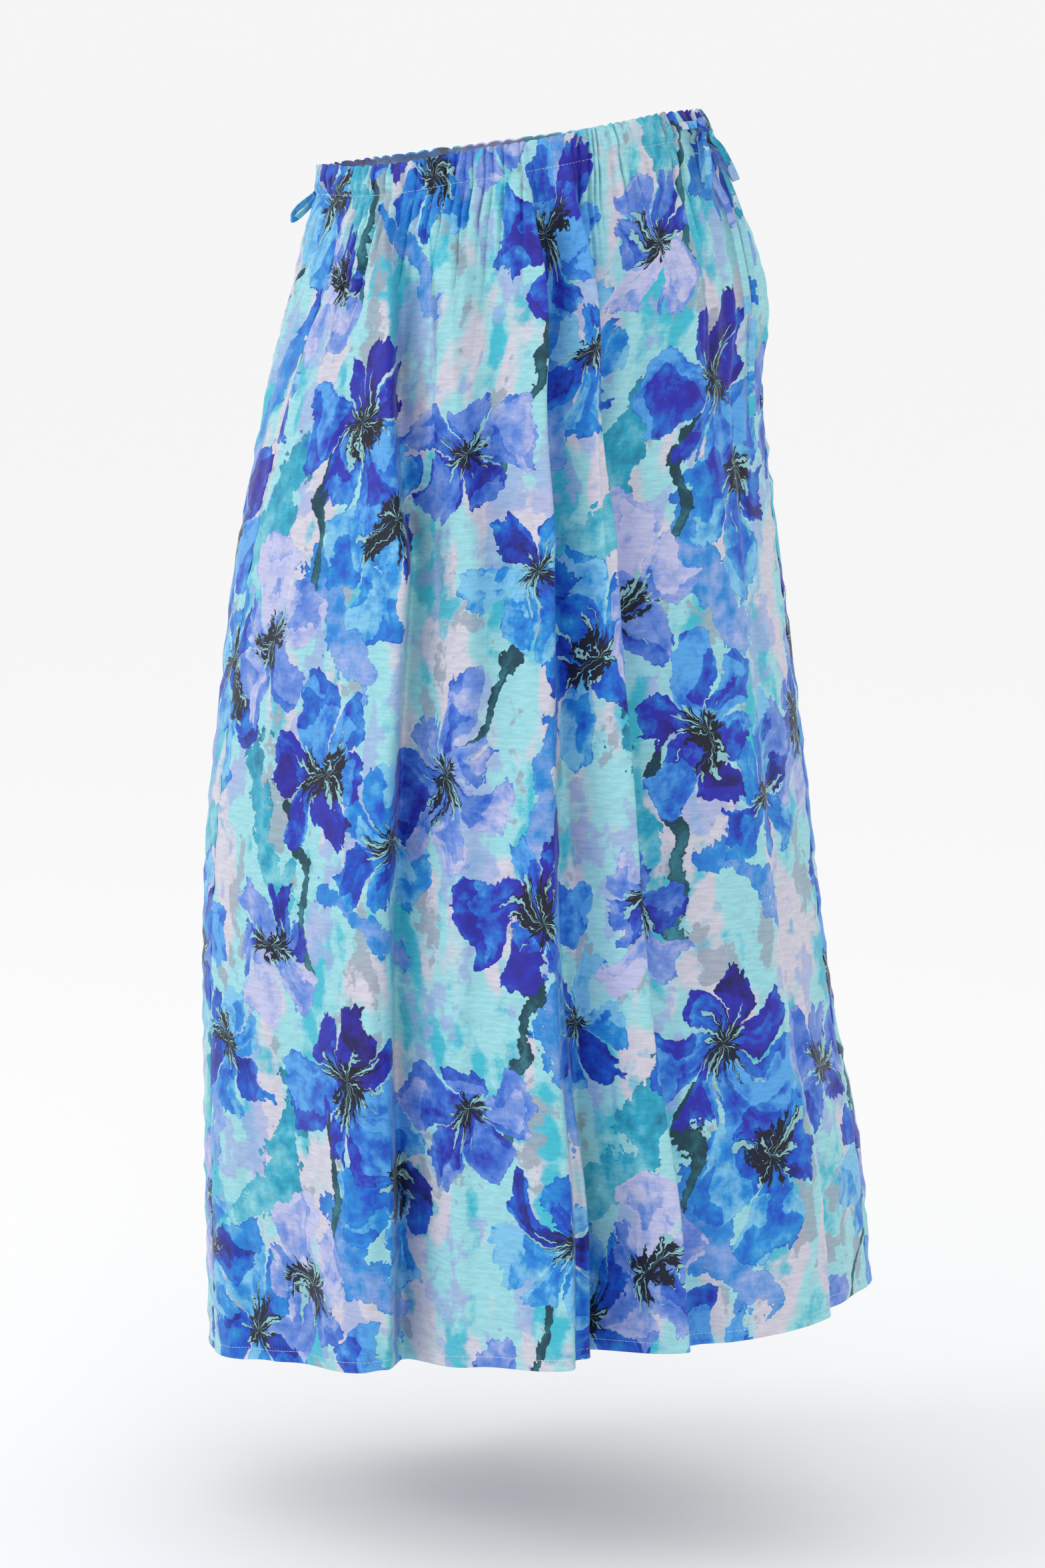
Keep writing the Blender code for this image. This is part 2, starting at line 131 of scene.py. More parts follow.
FOLDS = (
    # angle at casing, at thigh, at hem, left width, right width, depth at hip, at knee, at hem
    (238.0, 238.0, 234.0, 20.0, 20.0, 0.003, 0.004, -0.014),
    (245.5, 262.5, 252.0, 18.0, 4.5, 0.010, 0.014, 0.009),
    (249.5, 267.5, 261.5, 4.5, 11.0, -0.009, -0.015, -0.036),
    (262.0, 276.5, 279.0, 9.0, 9.0, 0.007, 0.009, 0.002),
    (274.0, 284.5, 274.0, 7.0, 7.0, -0.005, -0.006, -0.002),
    (287.0, 293.0, 286.5, 13.0, 4.5, 0.010, 0.014, 0.032),
    (292.0, 298.0, 297.0, 4.5, 7.0, -0.011, -0.017, -0.032),
    (299.0, 306.5, 307.0, 7.0, 4.0, 0.010, 0.013, 0.020),
    (303.5, 311.0, 317.0, 4.5, 13.0, -0.009, -0.012, 0.010),
    (322.0, 330.0, 334.0, 24.0, 24.0, 0.004, 0.008, 0.014),
    (345.0, 352.0, 355.0, 20.0, 20.0, -0.003, -0.005, -0.010),
    (18.0, 20.0, 20.0, 15.0, 15.0, 0.004, 0.007, 0.010),
    (36.0, 36.0, 35.0, 14.0, 13.0, -0.007, -0.012, -0.018),
    (50.0, 50.0, 50.0, 15.0, 12.0, 0.008, 0.014, 0.024),
    (65.0, 66.0, 67.0, 11.0, 15.0, -0.007, -0.013, -0.022),
    (79.0, 80.0, 82.0, 16.0, 12.0, 0.009, 0.015, 0.026),
    (95.0, 95.0, 97.0, 12.0, 15.0, -0.008, -0.014, -0.024),
    (110.0, 110.0, 111.0, 15.0, 12.0, 0.007, 0.013, 0.022),
    (125.0, 126.0, 127.0, 12.0, 15.0, -0.007, -0.012, -0.020),
    (140.0, 140.0, 141.0, 15.0, 14.0, 0.007, 0.011, 0.019),
    (160.0, 158.0, 157.0, 15.0, 15.0, -0.005, -0.008, -0.014),
    (178.0, 176.0, 175.0, 15.0, 15.0, 0.003, 0.006, 0.010),
)
FOLD_STARTS = (
    # share of the hip's drop, share of the depth at the hip
    (0.00, 0.00),
    (0.10, 0.10),
    (0.45, 0.65),
)
HIP_DROP = 0.130
THIGH_DROP = 0.300
KNEE_DROP = 0.450
FOLD_LEAN = 0.60
TOP_LINE = (
    # angle, how far the edge sits under its plane
    (90.0, 0.0000),
    (140.0, 0.0010),
    (180.0, 0.0015),
    (215.0, 0.0020),
    (232.0, 0.0056),
    (250.0, 0.0072),
    (270.0, 0.0048),
    (290.0, 0.0030),
    (307.0, 0.0000),
    (320.0, -0.0026),
    (335.0, -0.0048),
    (350.0, -0.0042),
    (375.0, -0.0036),
    (410.0, -0.0020),
    (450.0, 0.0000),
)
TOP_LINE_KEPT_TO = 0.030
TOP_LINE_GONE_BY = 0.200
MOUTH_TOP = 0.062
MOUTH_BOTTOM = 0.215
LEFT_MOUTH_GAPE = 0.006
MOUTH_DRAW = 1.2
MOUTH_SPREAD = 12.0
MOUTH_ROUNDNESS = 0.7
SPACING_SAMPLES = 1201
ARC_SHARE = 0.7
BACK_MIDDLE = 90.0
PROBE = 0.01
SHARP_ANGLE = math.radians(70)

# The visible cloth: a fine grid of thin cloth for each panel
PANEL_COLUMNS = 384
ROW_ZONES = (
    # drop at the zone's top, rows in the zone
    (0.000, 10),
    (0.022, 16),
    (0.080, 22),
    (0.250, 79),
)
HEM_HEIGHT = 0.012
CLOTH_WALL = 0.0007
CASING_WALL = 0.0018
HEM_WALL = 0.0014
WALL_BLEND = 0.003
SEAM_TUCK = 0.0007
SEAM_TUCK_WIDTH = 0.006
SEAM_CLEAR = 0.012

# The flat cuts of the panels, which the print is laid out on
CUT_TOP_WIDTH = 0.62
CUT_HEM_WIDTH = 0.90
BACK_PRINT_SHIFT = (0.163, 0.207)

# Creases and ridges: a ridge has a positive depth, a crease a negative one.
# Widths are the degrees from the middle to each side of it.
CREASES = (
    # drops at the top and bottom, angles at the top, middle and bottom, left width, right width, depth
    (0.060, 0.560, 249.5, 264.0, 261.5, 6.0, 1.9, 0.0042),
    (0.060, 0.560, 252.0, 266.9, 264.3, 1.9, 4.5, -0.0040),
    (0.430, 0.915, 264.2, 261.0, 256.4, 7.0, 2.2, 0.0050),
    (0.430, 0.915, 267.0, 263.8, 259.6, 2.2, 5.0, -0.0045),
    (0.024, 0.420, 259.2, 268.0, 272.6, 2.6, 1.6, 0.0026),
    (0.024, 0.420, 261.0, 270.4, 274.8, 1.6, 3.2, -0.0028),
    (0.030, 0.230, 266.0, 268.5, 274.5, 2.4, 1.8, 0.0016),
    (0.040, 0.300, 254.6, 259.2, 263.5, 1.6, 2.0, -0.0018),
    (0.050, 0.230, 241.0, 243.5, 246.0, 2.0, 2.6, -0.0022),
    (0.024, 0.160, 234.5, 235.0, 236.5, 1.8, 2.2, -0.0018),
    (0.024, 0.110, 245.5, 247.0, 249.0, 1.4, 2.0, -0.0016),
    (0.030, 0.140, 276.0, 277.5, 280.0, 1.6, 2.2, -0.0016),
    (0.024, 0.330, 289.0, 290.2, 295.5, 3.0, 1.6, 0.0024),
    (0.024, 0.330, 291.2, 292.6, 298.0, 1.6, 2.6, -0.0026),
    (0.300, 0.915, 295.5, 298.6, 291.6, 3.4, 1.6, 0.0030),
    (0.300, 0.915, 298.0, 301.2, 294.6, 1.6, 3.0, -0.0030),
    (0.024, 0.480, 299.6, 302.8, 305.4, 3.0, 1.5, 0.0026),
    (0.024, 0.480, 301.6, 305.0, 307.8, 1.5, 3.0, -0.0026),
    (0.060, 0.240, 312.0, 314.6, 317.0, 2.0, 3.0, -0.0016),
    (0.024, 0.130, 321.0, 322.0, 323.5, 1.8, 2.2, -0.0016),
    (0.030, 0.210, 334.0, 336.0, 338.0, 2.2, 3.0, -0.0018),
    (0.024, 0.120, 346.0, 347.0, 348.0, 1.8, 2.2, -0.0014),
    (0.020, 0.190, 365.0, 366.0, 368.0, 2.0, 2.6, -0.0016),
    (0.520, 0.915, 281.0, 277.0, 272.0, 4.0, 5.0, -0.0026),
    (0.560, 0.915, 318.0, 322.0, 327.0, 6.0, 6.0, -0.0030),
    (0.620, 0.915, 228.0, 224.0, 220.0, 5.0, 5.0, -0.0024),
    (0.024, 0.300, 386.0, 388.0, 390.0, 2.4, 1.8, -0.0022),
    (0.030, 0.200, 404.0, 404.0, 406.0, 1.8, 2.4, -0.0018),
    (0.024, 0.420, 417.0, 418.0, 420.0, 1.8, 3.0, -0.0026),
    (0.024, 0.160, 434.0, 435.0, 436.0, 1.6, 2.2, -0.0018),
    (0.030, 0.360, 448.0, 449.0, 451.0, 3.0, 1.8, -0.0024),
    (0.024, 0.220, 461.0, 461.0, 463.0, 1.8, 2.4, -0.0020),
    (0.030, 0.470, 477.0, 478.0, 480.0, 1.8, 3.0, -0.0026),
    (0.024, 0.140, 491.0, 491.0, 493.0, 1.6, 2.2, -0.0016),
    (0.024, 0.330, 505.0, 507.0, 508.0, 2.6, 1.8, -0.0024),
    (0.030, 0.190, 523.0, 523.0, 524.0, 1.8, 2.4, -0.0018),
    (0.024, 0.260, 540.0, 541.0, 542.0, 2.0, 2.6, -0.0020),
    (0.024, 0.150, 556.0, 556.0, 557.0, 1.8, 2.2, -0.0016),
)
CREASE_FADE = 0.22
CREASE_LEAN = 0.85

# Smaller folds that run down from the gathers, and long soft ones below them
DRAPE_WAVES = 17
DRAPE_DEPTHS = (
    # drop, depth
    (0.000, 0.0000),
    (0.022, 0.0003),
    (0.060, 0.0013),
    (0.130, 0.0017),
    (0.230, 0.0010),
    (0.360, 0.0004),
    (0.500, 0.0000),
)
SOFT_WAVES = 9
SOFT_DEPTHS = (
    # drop, depth
    (0.060, 0.0000),
    (0.200, 0.0008),
    (0.450, 0.0013),
    (0.700, 0.0016),
    (0.915, 0.0020),
)
FOLD_SEAM_SHARE = 0.04
FOLD_BEND = 0.6
FOLD_BEND_RATE = 9.0
CRINKLE_WAVES = 34
CRINKLE_DEPTH = 0.00013
CRINKLE_RADIUS = 0.2
CRINKLE_HEIGHTS = (0.014, 0.046)
CRINKLE_WIDTHS = (0.035, 0.16)
SEED = 20

# Drawstring ties, close to the part's own
TIE_WIDTH = 0.006
TIE_THICKNESS = 0.0012
KNOT_HALF_SIZES = (0.0042, 0.0045, 0.0055)
KNOT_LIFT = 0.0078
KNOT_DROP = 0.0115
KNOT_RINGS = 36
KNOT_SIDES = 48
LEFT_KNOT_ANGLE = -10.0
RIGHT_KNOT_ANGLE = 169.0
LOOP_END_GAP = 0.0010
LOOP_HALF_GAP = 0.0032
LOOP_START_LIFT = 0.0108
TAIL_TWIST = 45.0
TWIST_BEGINS = 0.10
TWIST_FULL = 0.40
ARC_PER_DEGREE = 0.00186
TAIL_STATIONS = 110
LOOP_STATIONS = 57
LEAD_STATIONS = 13
SHORT_TAIL = (
    # degrees away from the knot, drop, height over the cloth, as in the tables under it
    (1.5, 0.0167, 0.0077),
    (2.1, 0.0242, 0.0066),
    (1.6, 0.0431, 0.0056),
    (3.4, 0.0600, 0.0054),
    (5.0, 0.0720, 0.0058),
    (4.3, 0.0936, 0.0062),
    (4.2, 0.1180, 0.0056),
    (4.5, 0.1525, 0.0052),
)
LONG_TAIL = (
    (0.9, 0.0173, 0.0052),
    (7.8, 0.0270, 0.0048),
    (11.2, 0.0439, 0.0048),
    (13.4, 0.0620, 0.0048),
    (12.6, 0.0780, 0.0054),
    (9.8, 0.0960, 0.0062),
    (9.1, 0.1188, 0.0058),
    (9.2, 0.1436, 0.0054),
    (8.0, 0.1690, 0.0050),
    (9.6, 0.1980, 0.0050),
    (10.0, 0.2293, 0.0050),
)
FRONT_LEAD = (
    (-8.0, 0.0110, 0.0003),
    (-5.4, 0.0110, 0.0050),
    (-2.55, 0.0110, 0.0078),
)
BACK_LEAD = (
    (8.0, 0.0110, 0.0019),
    (5.4, 0.0110, 0.0056),
    (2.55, 0.0110, 0.0078),
)
LOOPS = (
    # side and name, angle and drop at the knot, angle, drop and height at the tip, twist in degrees
    ("left_tie_loop_front", -1.6, 0.0169, -5.0, 0.0590, 0.0090, 30.0),
    ("left_tie_loop_back", 1.9, 0.0160, 11.0, 0.0553, 0.0124, 58.0),
    ("right_tie_loop_front", -1.2, 0.0165, -17.0, 0.0385, 0.0160, 15.0),
    ("right_tie_loop_back", 1.7, 0.0160, 11.5, 0.0500, 0.0150, 50.0),
)
TIE_CUT_PLACES = {
    # end of the strip's name, and where on the printed cloth it is cut, across and along
    "lead_front": (0.215, 0.330),
    "lead_back": (0.118, 0.052),
    "loop_front": (0.402, 0.187),
    "loop_back": (0.057, 0.415),
    "tail_short": (0.286, -0.094),
    "tail_long": (0.471, 0.038),
}

TIE_PRINT_SHIFT = (0.09, 0.13)

# Thread
STITCH_SPACING = 0.0030
STITCH_LENGTH = 0.0022
STITCH_RADIUS = 0.00014
STITCH_RISE = 0.3
STITCH_SIDES = 6
STITCH_RINGS = (
    # share of the stitch's length, share of its radius
    (-0.5, 0.45),
    (-0.32, 1.0),
    (0.32, 1.0),
    (0.5, 0.45),
)

# Pocket bags: two layers of cloth in one flat bag
BAG_TOP = 0.070
BAG_BOTTOM = 0.320
BAG_SHARE = 0.115
BAG_WALL = 0.0012
BAG_INSET = 0.0016
BAG_COLUMNS = 40
BAG_CORNER = 0.055
BAG_TOP_ROUNDING = 0.30
BAG_BOTTOM_ROUNDING = 0.45
BAG_FROM_SEAM = 0.004

# Studio
FLOOR_DROP = 0.12
FLOOR_SIZE = 160.0
FLOOR_GREY = 0.91
LIGHT_AIM = (0.0, 0.0, -0.45)
LIGHTS = (
    # name, place, size, watts
    ("key", (-2.6, -1.6, 1.2), 1.2, 24.0),
    ("front", (1.8, -3.2, 1.6), 1.6, 10.0),
)


def smooth(rows, column, at):
    """One column of a table as a smooth curve through its rows, by their first column."""
    places = np.array([row[0] for row in rows], dtype=float)
    values = np.array([row[column] for row in rows], dtype=float)
    slopes = np.gradient(values, places)
    at = np.clip(at, places[0], places[-1])
    index = np.clip(np.searchsorted(places, at) - 1, 0, len(places) - 2)
    step = places[index + 1] - places[index]
    t = (at - places[index]) / step
    start = (1 + 2 * t) * (1 - t) ** 2 * values[index]
    leave = t * (1 - t) ** 2 * step * slopes[index]
    end = t * t * (3 - 2 * t) * values[index + 1]
    arrive = t * t * (t - 1) * step * slopes[index + 1]
    return start + leave + end + arrive


def fold_height(angles, drop):
    """How far the folds push the cloth out or in, at each angle of one section."""
    total = np.zeros_like(angles)
    for casing, thigh, hem, left, right, hip_depth, knee_depth, hem_depth in FOLDS:
        middle = np.interp(drop, (0.0, THIGH_DROP, LENGTH), (casing, thigh, hem))
        depths = [(down * HIP_DROP, share * hip_depth) for down, share in FOLD_STARTS]
        depths += [(HIP_DROP, hip_depth), (KNEE_DROP, knee_depth), (LENGTH, hem_depth)]
        away = (angles - middle + 180.0) % 360.0 - 180.0
        reach = np.clip(np.abs(away) / np.where(away < 0.0, left, right), 0.0, 1.0)
        total += smooth(depths, 1, drop) * np.cos(reach * math.pi / 2) ** 2
    return total


def section(angles, drop, lift=0.0, crease=0.0):
    """Plan points of the cloth's outer face at the angles, moved out by lift and by small creases."""
    turn = np.radians(angles)
    cosine, sine = np.cos(turn), np.sin(turn)
    half_width = smooth(SECTIONS, 1, drop)
    depth = np.where(sine < 0, smooth(SECTIONS, 2, drop), smooth(SECTIONS, 3, drop))
    across = smooth(SECTIONS, 4, drop) + half_width * cosine
    back = smooth(SECTIONS, 5, drop) + depth * sine
    out_x, out_y = depth * cosine, half_width * sine
    size = np.hypot(out_x, out_y)
    out_x, out_y = out_x / size, out_y / size
    height = fold_height(angles, drop)
    slide = FOLD_LEAN * height + CREASE_LEAN * crease
    x = across + out_x * (height + lift + crease) - out_y * slide
    y = back + out_y * (height + lift + crease) + out_x * slide
    return x, y


def mouth_opening(angles, drop):
    """How open the left pocket's mouth is at each angle of the front panel, from 0, shut, to 1."""
    if not MOUTH_TOP < drop < MOUTH_BOTTOM:
        return np.zeros_like(angles)
    down = (drop - MOUTH_TOP) / (MOUTH_BOTTOM - MOUTH_TOP)
    rise = math.sin(math.pi * down) ** MOUTH_ROUNDNESS
    from_seam = np.clip((smooth(SEAMS, 2, drop) - angles) / MOUTH_SPREAD, 0.0, 1.0)
    return rise * (1.0 - from_seam) ** 2


def sag(angles, drop):
    """How far the cloth sits under the waist's tilted plane, less and less further down."""
    down = np.clip((drop - TOP_LINE_KEPT_TO) / (TOP_LINE_GONE_BY - TOP_LINE_KEPT_TO), 0.0, 1.0)
    turned = (angles - BACK_MIDDLE) % 360.0 + BACK_MIDDLE
    return smooth(TOP_LINE, 1, turned) * (1.0 - down * down * (3.0 - 2.0 * down))


def on_cloth(angle, drop, lift):
    """A point over the cloth, as a Vector. The angle may be given a whole turn less."""
    turns = np.array([float(angle)])
    lift = lift + smooth(CASING_PUFF, 1, drop)
    if angle < BACK_MIDDLE:
        lift = lift + LEFT_MOUTH_GAPE * mouth_opening(turns + 360.0, drop)
    x, y = section(turns, drop, lift)
    return Vector((x[0], y[0], HIP_TILT * x[0] - drop - sag(turns, drop)[0]))


def outward(angle, drop):
    """The level direction straight out of the plain oval section."""
    near = on_cloth(angle, drop, 0.0)
    far = on_cloth(angle, drop, PROBE)
    return (far - near).normalized()


def seam_angles(panel, drop):
    """The angles of a panel's two seams at a drop, in the direction of travel."""
    right, left = smooth(SEAMS, 1, drop), smooth(SEAMS, 2, drop)
    return (right, left) if panel == "front" else (left, right + 360.0)


def spacing(panel, count):
    """Shares of a panel's angle at its columns, closer together where the folds hold cloth."""
    start, end = seam_angles(panel, KNEE_DROP)
    share = np.linspace(0.0, 1.0, SPACING_SAMPLES)
    x, y = section(start + (end - start) * share, KNEE_DROP)
    along = np.concatenate(([0.0], np.cumsum(np.hypot(np.diff(x), np.diff(y)))))
    mixed = ARC_SHARE * along / along[-1] + (1.0 - ARC_SHARE) * share
    return np.interp(np.linspace(0.0, 1.0, count + 1), mixed, share)


def row_drops():
    """The drops of the fine grid's rows, closest together at the casing."""
    tops = [zone[0] for zone in ROW_ZONES] + [LENGTH]
    counts = [zone[1] for zone in ROW_ZONES]
    drops = [np.linspace(top, bottom, count + 1)[:-1] for count, top, bottom in zip(counts, tops, tops[1:])]
    return np.concatenate(drops + [[LENGTH]])


def gather_ripple(gather, drop, uneven):
    """The gathers' ripple at each place along a panel: rounded ridges between narrow hollows."""
    shifts, strengths, lengths = uneven
    marks = np.arange(GATHERS + 1)
    place = gather + np.interp(gather, marks, shifts)
    strength = np.interp(place, marks, strengths)
    stretch = np.interp(place, marks, lengths)
    from_seam = np.clip(np.minimum(gather, GATHERS - gather), 0.0, 1.0)
    shape = 2.0 * np.abs(np.sin(math.pi * place)) ** GATHER_SHARPNESS - GATHER_MIDDLE
    down = drop if drop <= CASING_HEIGHT else CASING_HEIGHT + (drop - CASING_HEIGHT) / stretch
    return smooth(GATHER_DEPTHS, 1, down) * strength * from_seam * shape


def drape_folds(share, drop, uneven_waves):
    """The lesser folds under the gathers and the long soft ones below, across a panel."""
    total = np.zeros_like(share)
    from_seam = np.clip(np.minimum(share, 1.0 - share) / FOLD_SEAM_SHARE, 0.0, 1.0)
    for waves, depths, wander, strength in uneven_waves:
        phase = 2 * math.pi * waves * share + np.interp(share, np.linspace(0, 1, len(wander)), wander)
        amount = np.interp(share, np.linspace(0, 1, len(strength)), strength)
        bend = FOLD_BEND * math.sin(FOLD_BEND_RATE * drop + waves)
        total += smooth(depths, 1, drop) * amount * np.sin(phase + bend)
    return total * from_seam


def crease_height(angles, drop):
    """How far the listed creases and ridges move the cloth at one drop."""
    total = np.zeros_like(angles)
    for top, bottom, start, middle, end, left, right, depth in CREASES:
        down = (drop - top) / (bottom - top)
        if 0.0 < down < 1.0:
            at = np.interp(down, (0.0, 0.5, 1.0), (start, middle, end))
            to_hem = bottom >= LENGTH
            rise = min(down, 1.0 if to_hem else 1.0 - down, CREASE_FADE) / CREASE_FADE
            reach = np.clip(np.abs(angles - at) / np.where(angles < at, left, right), 0.0, 1.0)
            total += depth * rise * rise * (3.0 - 2.0 * rise) * np.cos(reach * math.pi / 2) ** 2
    return total


def crinkles(angles, drop, waves):
    """Small uneven crinkles, mostly level, as a sum of plane waves over the cloth."""
    around = np.radians(angles) * CRINKLE_RADIUS
    total = np.zeros_like(angles)
    for rate_around, rate_down, phase in waves:
        total += np.sin(rate_around * around + rate_down * drop + phase)
    return CRINKLE_DEPTH * total


def panel_waves(panel):
    """The seeded unevenness of a panel's lesser folds and crinkles."""
    rng = np.random.default_rng(SEED + (panel == "back"))
    drapes = [(DRAPE_WAVES, DRAPE_DEPTHS, rng.uniform(-1.6, 1.6, 12), rng.uniform(0.3, 1.5, 26)),
              (SOFT_WAVES, SOFT_DEPTHS, rng.uniform(-1.4, 1.4, 8), rng.uniform(0.4, 1.4, 14))]
    crinkle = []
    for _ in range(CRINKLE_WAVES):
        tall = rng.uniform(*CRINKLE_HEIGHTS)
        wide = rng.uniform(*CRINKLE_WIDTHS) * rng.choice((-1.0, 1.0))
        crinkle.append((2 * math.pi / wide, 2 * math.pi / tall, rng.uniform(0, 2 * math.pi)))
    shifts = rng.uniform(-GATHER_SHIFT, GATHER_SHIFT, GATHERS + 1)
    strengths = rng.uniform(*GATHER_SPREAD, GATHERS + 1)
    lengths = rng.uniform(*GATHER_LENGTHS, GATHERS + 1)
    return drapes, crinkle, (shifts, strengths, lengths)


def panel_grid(panel):
    """The outer face of a panel as a grid of points, with each one's place in the flat cut."""
    drops = row_drops()
    shares = spacing(panel, PANEL_COLUMNS)
    gather = np.linspace(0.0, GATHERS, PANEL_COLUMNS + 1)
    drapes, crinkle, uneven = panel_waves(panel)
    points = np.zeros((len(drops), PANEL_COLUMNS + 1, 3))
    places = np.zeros((len(drops), PANEL_COLUMNS + 1, 2))
    for i, drop in enumerate(drops):
        start, end = seam_angles(panel, drop)
        angles = start + (end - start) * shares
        opening = mouth_opening(angles, drop) if panel == "front" else np.zeros_like(angles)
        angles = angles - MOUTH_DRAW * opening
        flat_x, flat_y = section(angles, drop)
        along = np.concatenate(([0.0], np.cumsum(np.hypot(np.diff(flat_x), np.diff(flat_y)))))
        from_seam = np.minimum(along, along[-1] - along)
        tuck = np.clip(1.0 - from_seam / SEAM_TUCK_WIDTH, 0.0, 1.0) ** 2
        ripple = gather_ripple(gather, drop, uneven)
        lift = ripple + smooth(CASING_PUFF, 1, drop) + LEFT_MOUTH_GAPE * opening
        lift += drape_folds(shares, drop, drapes) + crinkles(angles, drop, crinkle) - SEAM_TUCK * tuck
        crease = crease_height(angles, drop) * np.clip(from_seam / SEAM_CLEAR, 0.0, 1.0)
        x, y = section(angles, drop, lift, crease)
        for edge, inner in ((0, 1), (-1, -2)):
            inwards = np.array((x[inner] - x[edge], y[inner] - y[edge]))
            inwards *= 0.5 * SEAM_GAP / np.hypot(*inwards)
            x[edge] += inwards[0]
            y[edge] += inwards[1]
        heading = HEADING * max(0.0, 1.0 - drop / CASING_HEIGHT) * ripple / GATHER_DEPTHS[0][1]
        points[i] = np.stack((x, y, HIP_TILT * x - drop - sag(angles, drop) + heading), axis=1)
        cut_width = CUT_TOP_WIDTH + (CUT_HEM_WIDTH - CUT_TOP_WIDTH) * drop / LENGTH
        places[i] = np.stack(((along / along[-1] - 0.5) * cut_width, np.full_like(along, -drop)), axis=1)
    return points, places, drops


def grid_normals(points):
    """Unit normals of a grid whose rows run down and whose columns run anticlockwise."""
    across = np.gradient(points, axis=1)
    down = np.gradient(points, axis=0)
    normals = np.cross(down, across)
    return normals / np.linalg.norm(normals, axis=2, keepdims=True)


def shell_mesh(name, outer, inner, places):
    """A closed thin shell between two grids: slot 0 is its outside and edges, slot 1 its inside."""
    rows, columns = outer.shape[:2]
    index = np.arange(rows * columns).reshape(rows, columns)
    other = index + rows * columns
    a, b, c, d = index[:-1, :-1], index[1:, :-1], index[1:, 1:], index[:-1, 1:]
    front = np.stack((a, b, c, d), axis=-1).reshape(-1, 4)
    e, f, g, h = other[:-1, :-1], other[:-1, 1:], other[1:, 1:], other[1:, :-1]
    back = np.stack((e, f, g, h), axis=-1).reshape(-1, 4)
    top = np.stack((index[0, :-1], index[0, 1:], other[0, 1:], other[0, :-1]), axis=-1)
    low = np.stack((index[-1, 1:], index[-1, :-1], other[-1, :-1], other[-1, 1:]), axis=-1)
    first = np.stack((index[1:, 0], index[:-1, 0], other[:-1, 0], other[1:, 0]), axis=-1)
    last = np.stack((index[:-1, -1], index[1:, -1], other[1:, -1], other[:-1, -1]), axis=-1)
    faces = np.concatenate((front, back, top, low, first, last))
    mesh = bpy.data.meshes.new(name)
    verts = np.concatenate((outer.reshape(-1, 3), inner.reshape(-1, 3)))
    mesh.from_pydata(verts.tolist(), [], faces.tolist())
    both = np.concatenate((places.reshape(-1, 2), places.reshape(-1, 2)))
    layer = mesh.uv_layers.new(name="cut")
    corners = np.zeros(len(mesh.loops), dtype=np.int32)
    mesh.loops.foreach_get("vertex_index", corners)
    layer.data.foreach_set("uv", both[corners].astype(np.float32).ravel())
    slots = np.zeros(len(faces), dtype=np.int32)
    slots[len(front):len(front) + len(back)] = 1
    mesh.polygons.foreach_set("material_index", slots)
    mesh.shade_smooth()
    mesh.set_sharp_from_angle(angle=SHARP_ANGLE)
    mesh.update()
    return mesh


def new_piece(name, mesh, materials, nodes=()):
    """Links a piece, gives it its materials, hangs it from the root, and hides the model's parts that it
    stands in for.
    """
    piece = bpy.data.objects.new(name, mesh)
    bpy.context.scene.collection.objects.link(piece)
    for material in materials:
        mesh.materials.append(material)
    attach(piece, "root")
    if nodes:
        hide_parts(*nodes)
    return piece


def wall_at(drops):
    """The cloth's thickness down the panel: double at the casing and in the turned-up hem."""
    casing = 1.0 / (1.0 + np.exp((drops - CASING_HEIGHT) / (WALL_BLEND / 4)))
    hem = 1.0 / (1.0 + np.exp((LENGTH - HEM_HEIGHT - drops) / (WALL_BLEND / 4)))
    return CLOTH_WALL + (CASING_WALL - CLOTH_WALL) * casing + (HEM_WALL - CLOTH_WALL) * hem


def cloth_panel(panel, materials):
    """A panel's visible cloth. Returns its grid, for what lies on it."""
    points, places, drops = panel_grid(panel)
    normals = grid_normals(points)
    inner = points - normals * wall_at(drops)[:, None, None]
    if panel == "back":
        places = places + np.array(BACK_PRINT_SHIFT)
    mesh = shell_mesh(panel + "_cloth", points, inner, places)
    piece = new_piece(panel + "_cloth", mesh, materials, [panel + "_panel"])
    return points, normals, drops


def stitch_line(name, line, normals, material):
    """A row of short thread stitches along a line of points on the cloth, as one mesh."""
    along = np.concatenate(([0.0], np.cumsum(np.linalg.norm(np.diff(line, axis=0), axis=1))))
    count = int(along[-1] / STITCH_SPACING)
    starts = (np.arange(count) + 0.5) * along[-1] / count
    verts, faces = [], []
    sides = STITCH_SIDES
    for place in starts:
        middle = np.array([np.interp(place, along, line[:, k]) for k in range(3)])
        ahead = np.array([np.interp(place + STITCH_LENGTH / 2, along, line[:, k]) for k in range(3)])
        out = np.array([np.interp(place, along, normals[:, k]) for k in range(3)])
        course = (ahead - middle) / np.linalg.norm(ahead - middle)
        side = np.cross(course, out)
        first = len(verts)
        for shift, size in STITCH_RINGS:
            for k in range(sides):
                turn = 2 * math.pi * k / sides
                spread = math.cos(turn) * side + math.sin(turn) * out
                off = STITCH_RADIUS * (size * spread + STITCH_RISE * out)
                verts.append(middle + course * shift * STITCH_LENGTH + off)
        for ring in range(len(STITCH_RINGS) - 1):
            for k in range(sides):
                low, high = first + ring * sides, first + (ring + 1) * sides
                faces.append((low + k, low + (k + 1) % sides, high + (k + 1) % sides, high + k))
        faces.append(tuple(first + k for k in reversed(range(sides))))
        faces.append(tuple(first + (len(STITCH_RINGS) - 1) * sides + k for k in range(sides)))
    mesh = bpy.data.meshes.new(name)
    mesh.from_pydata([tuple(v) for v in verts], [], faces)
    mesh.shade_smooth()
    return new_piece(name, mesh, [material])


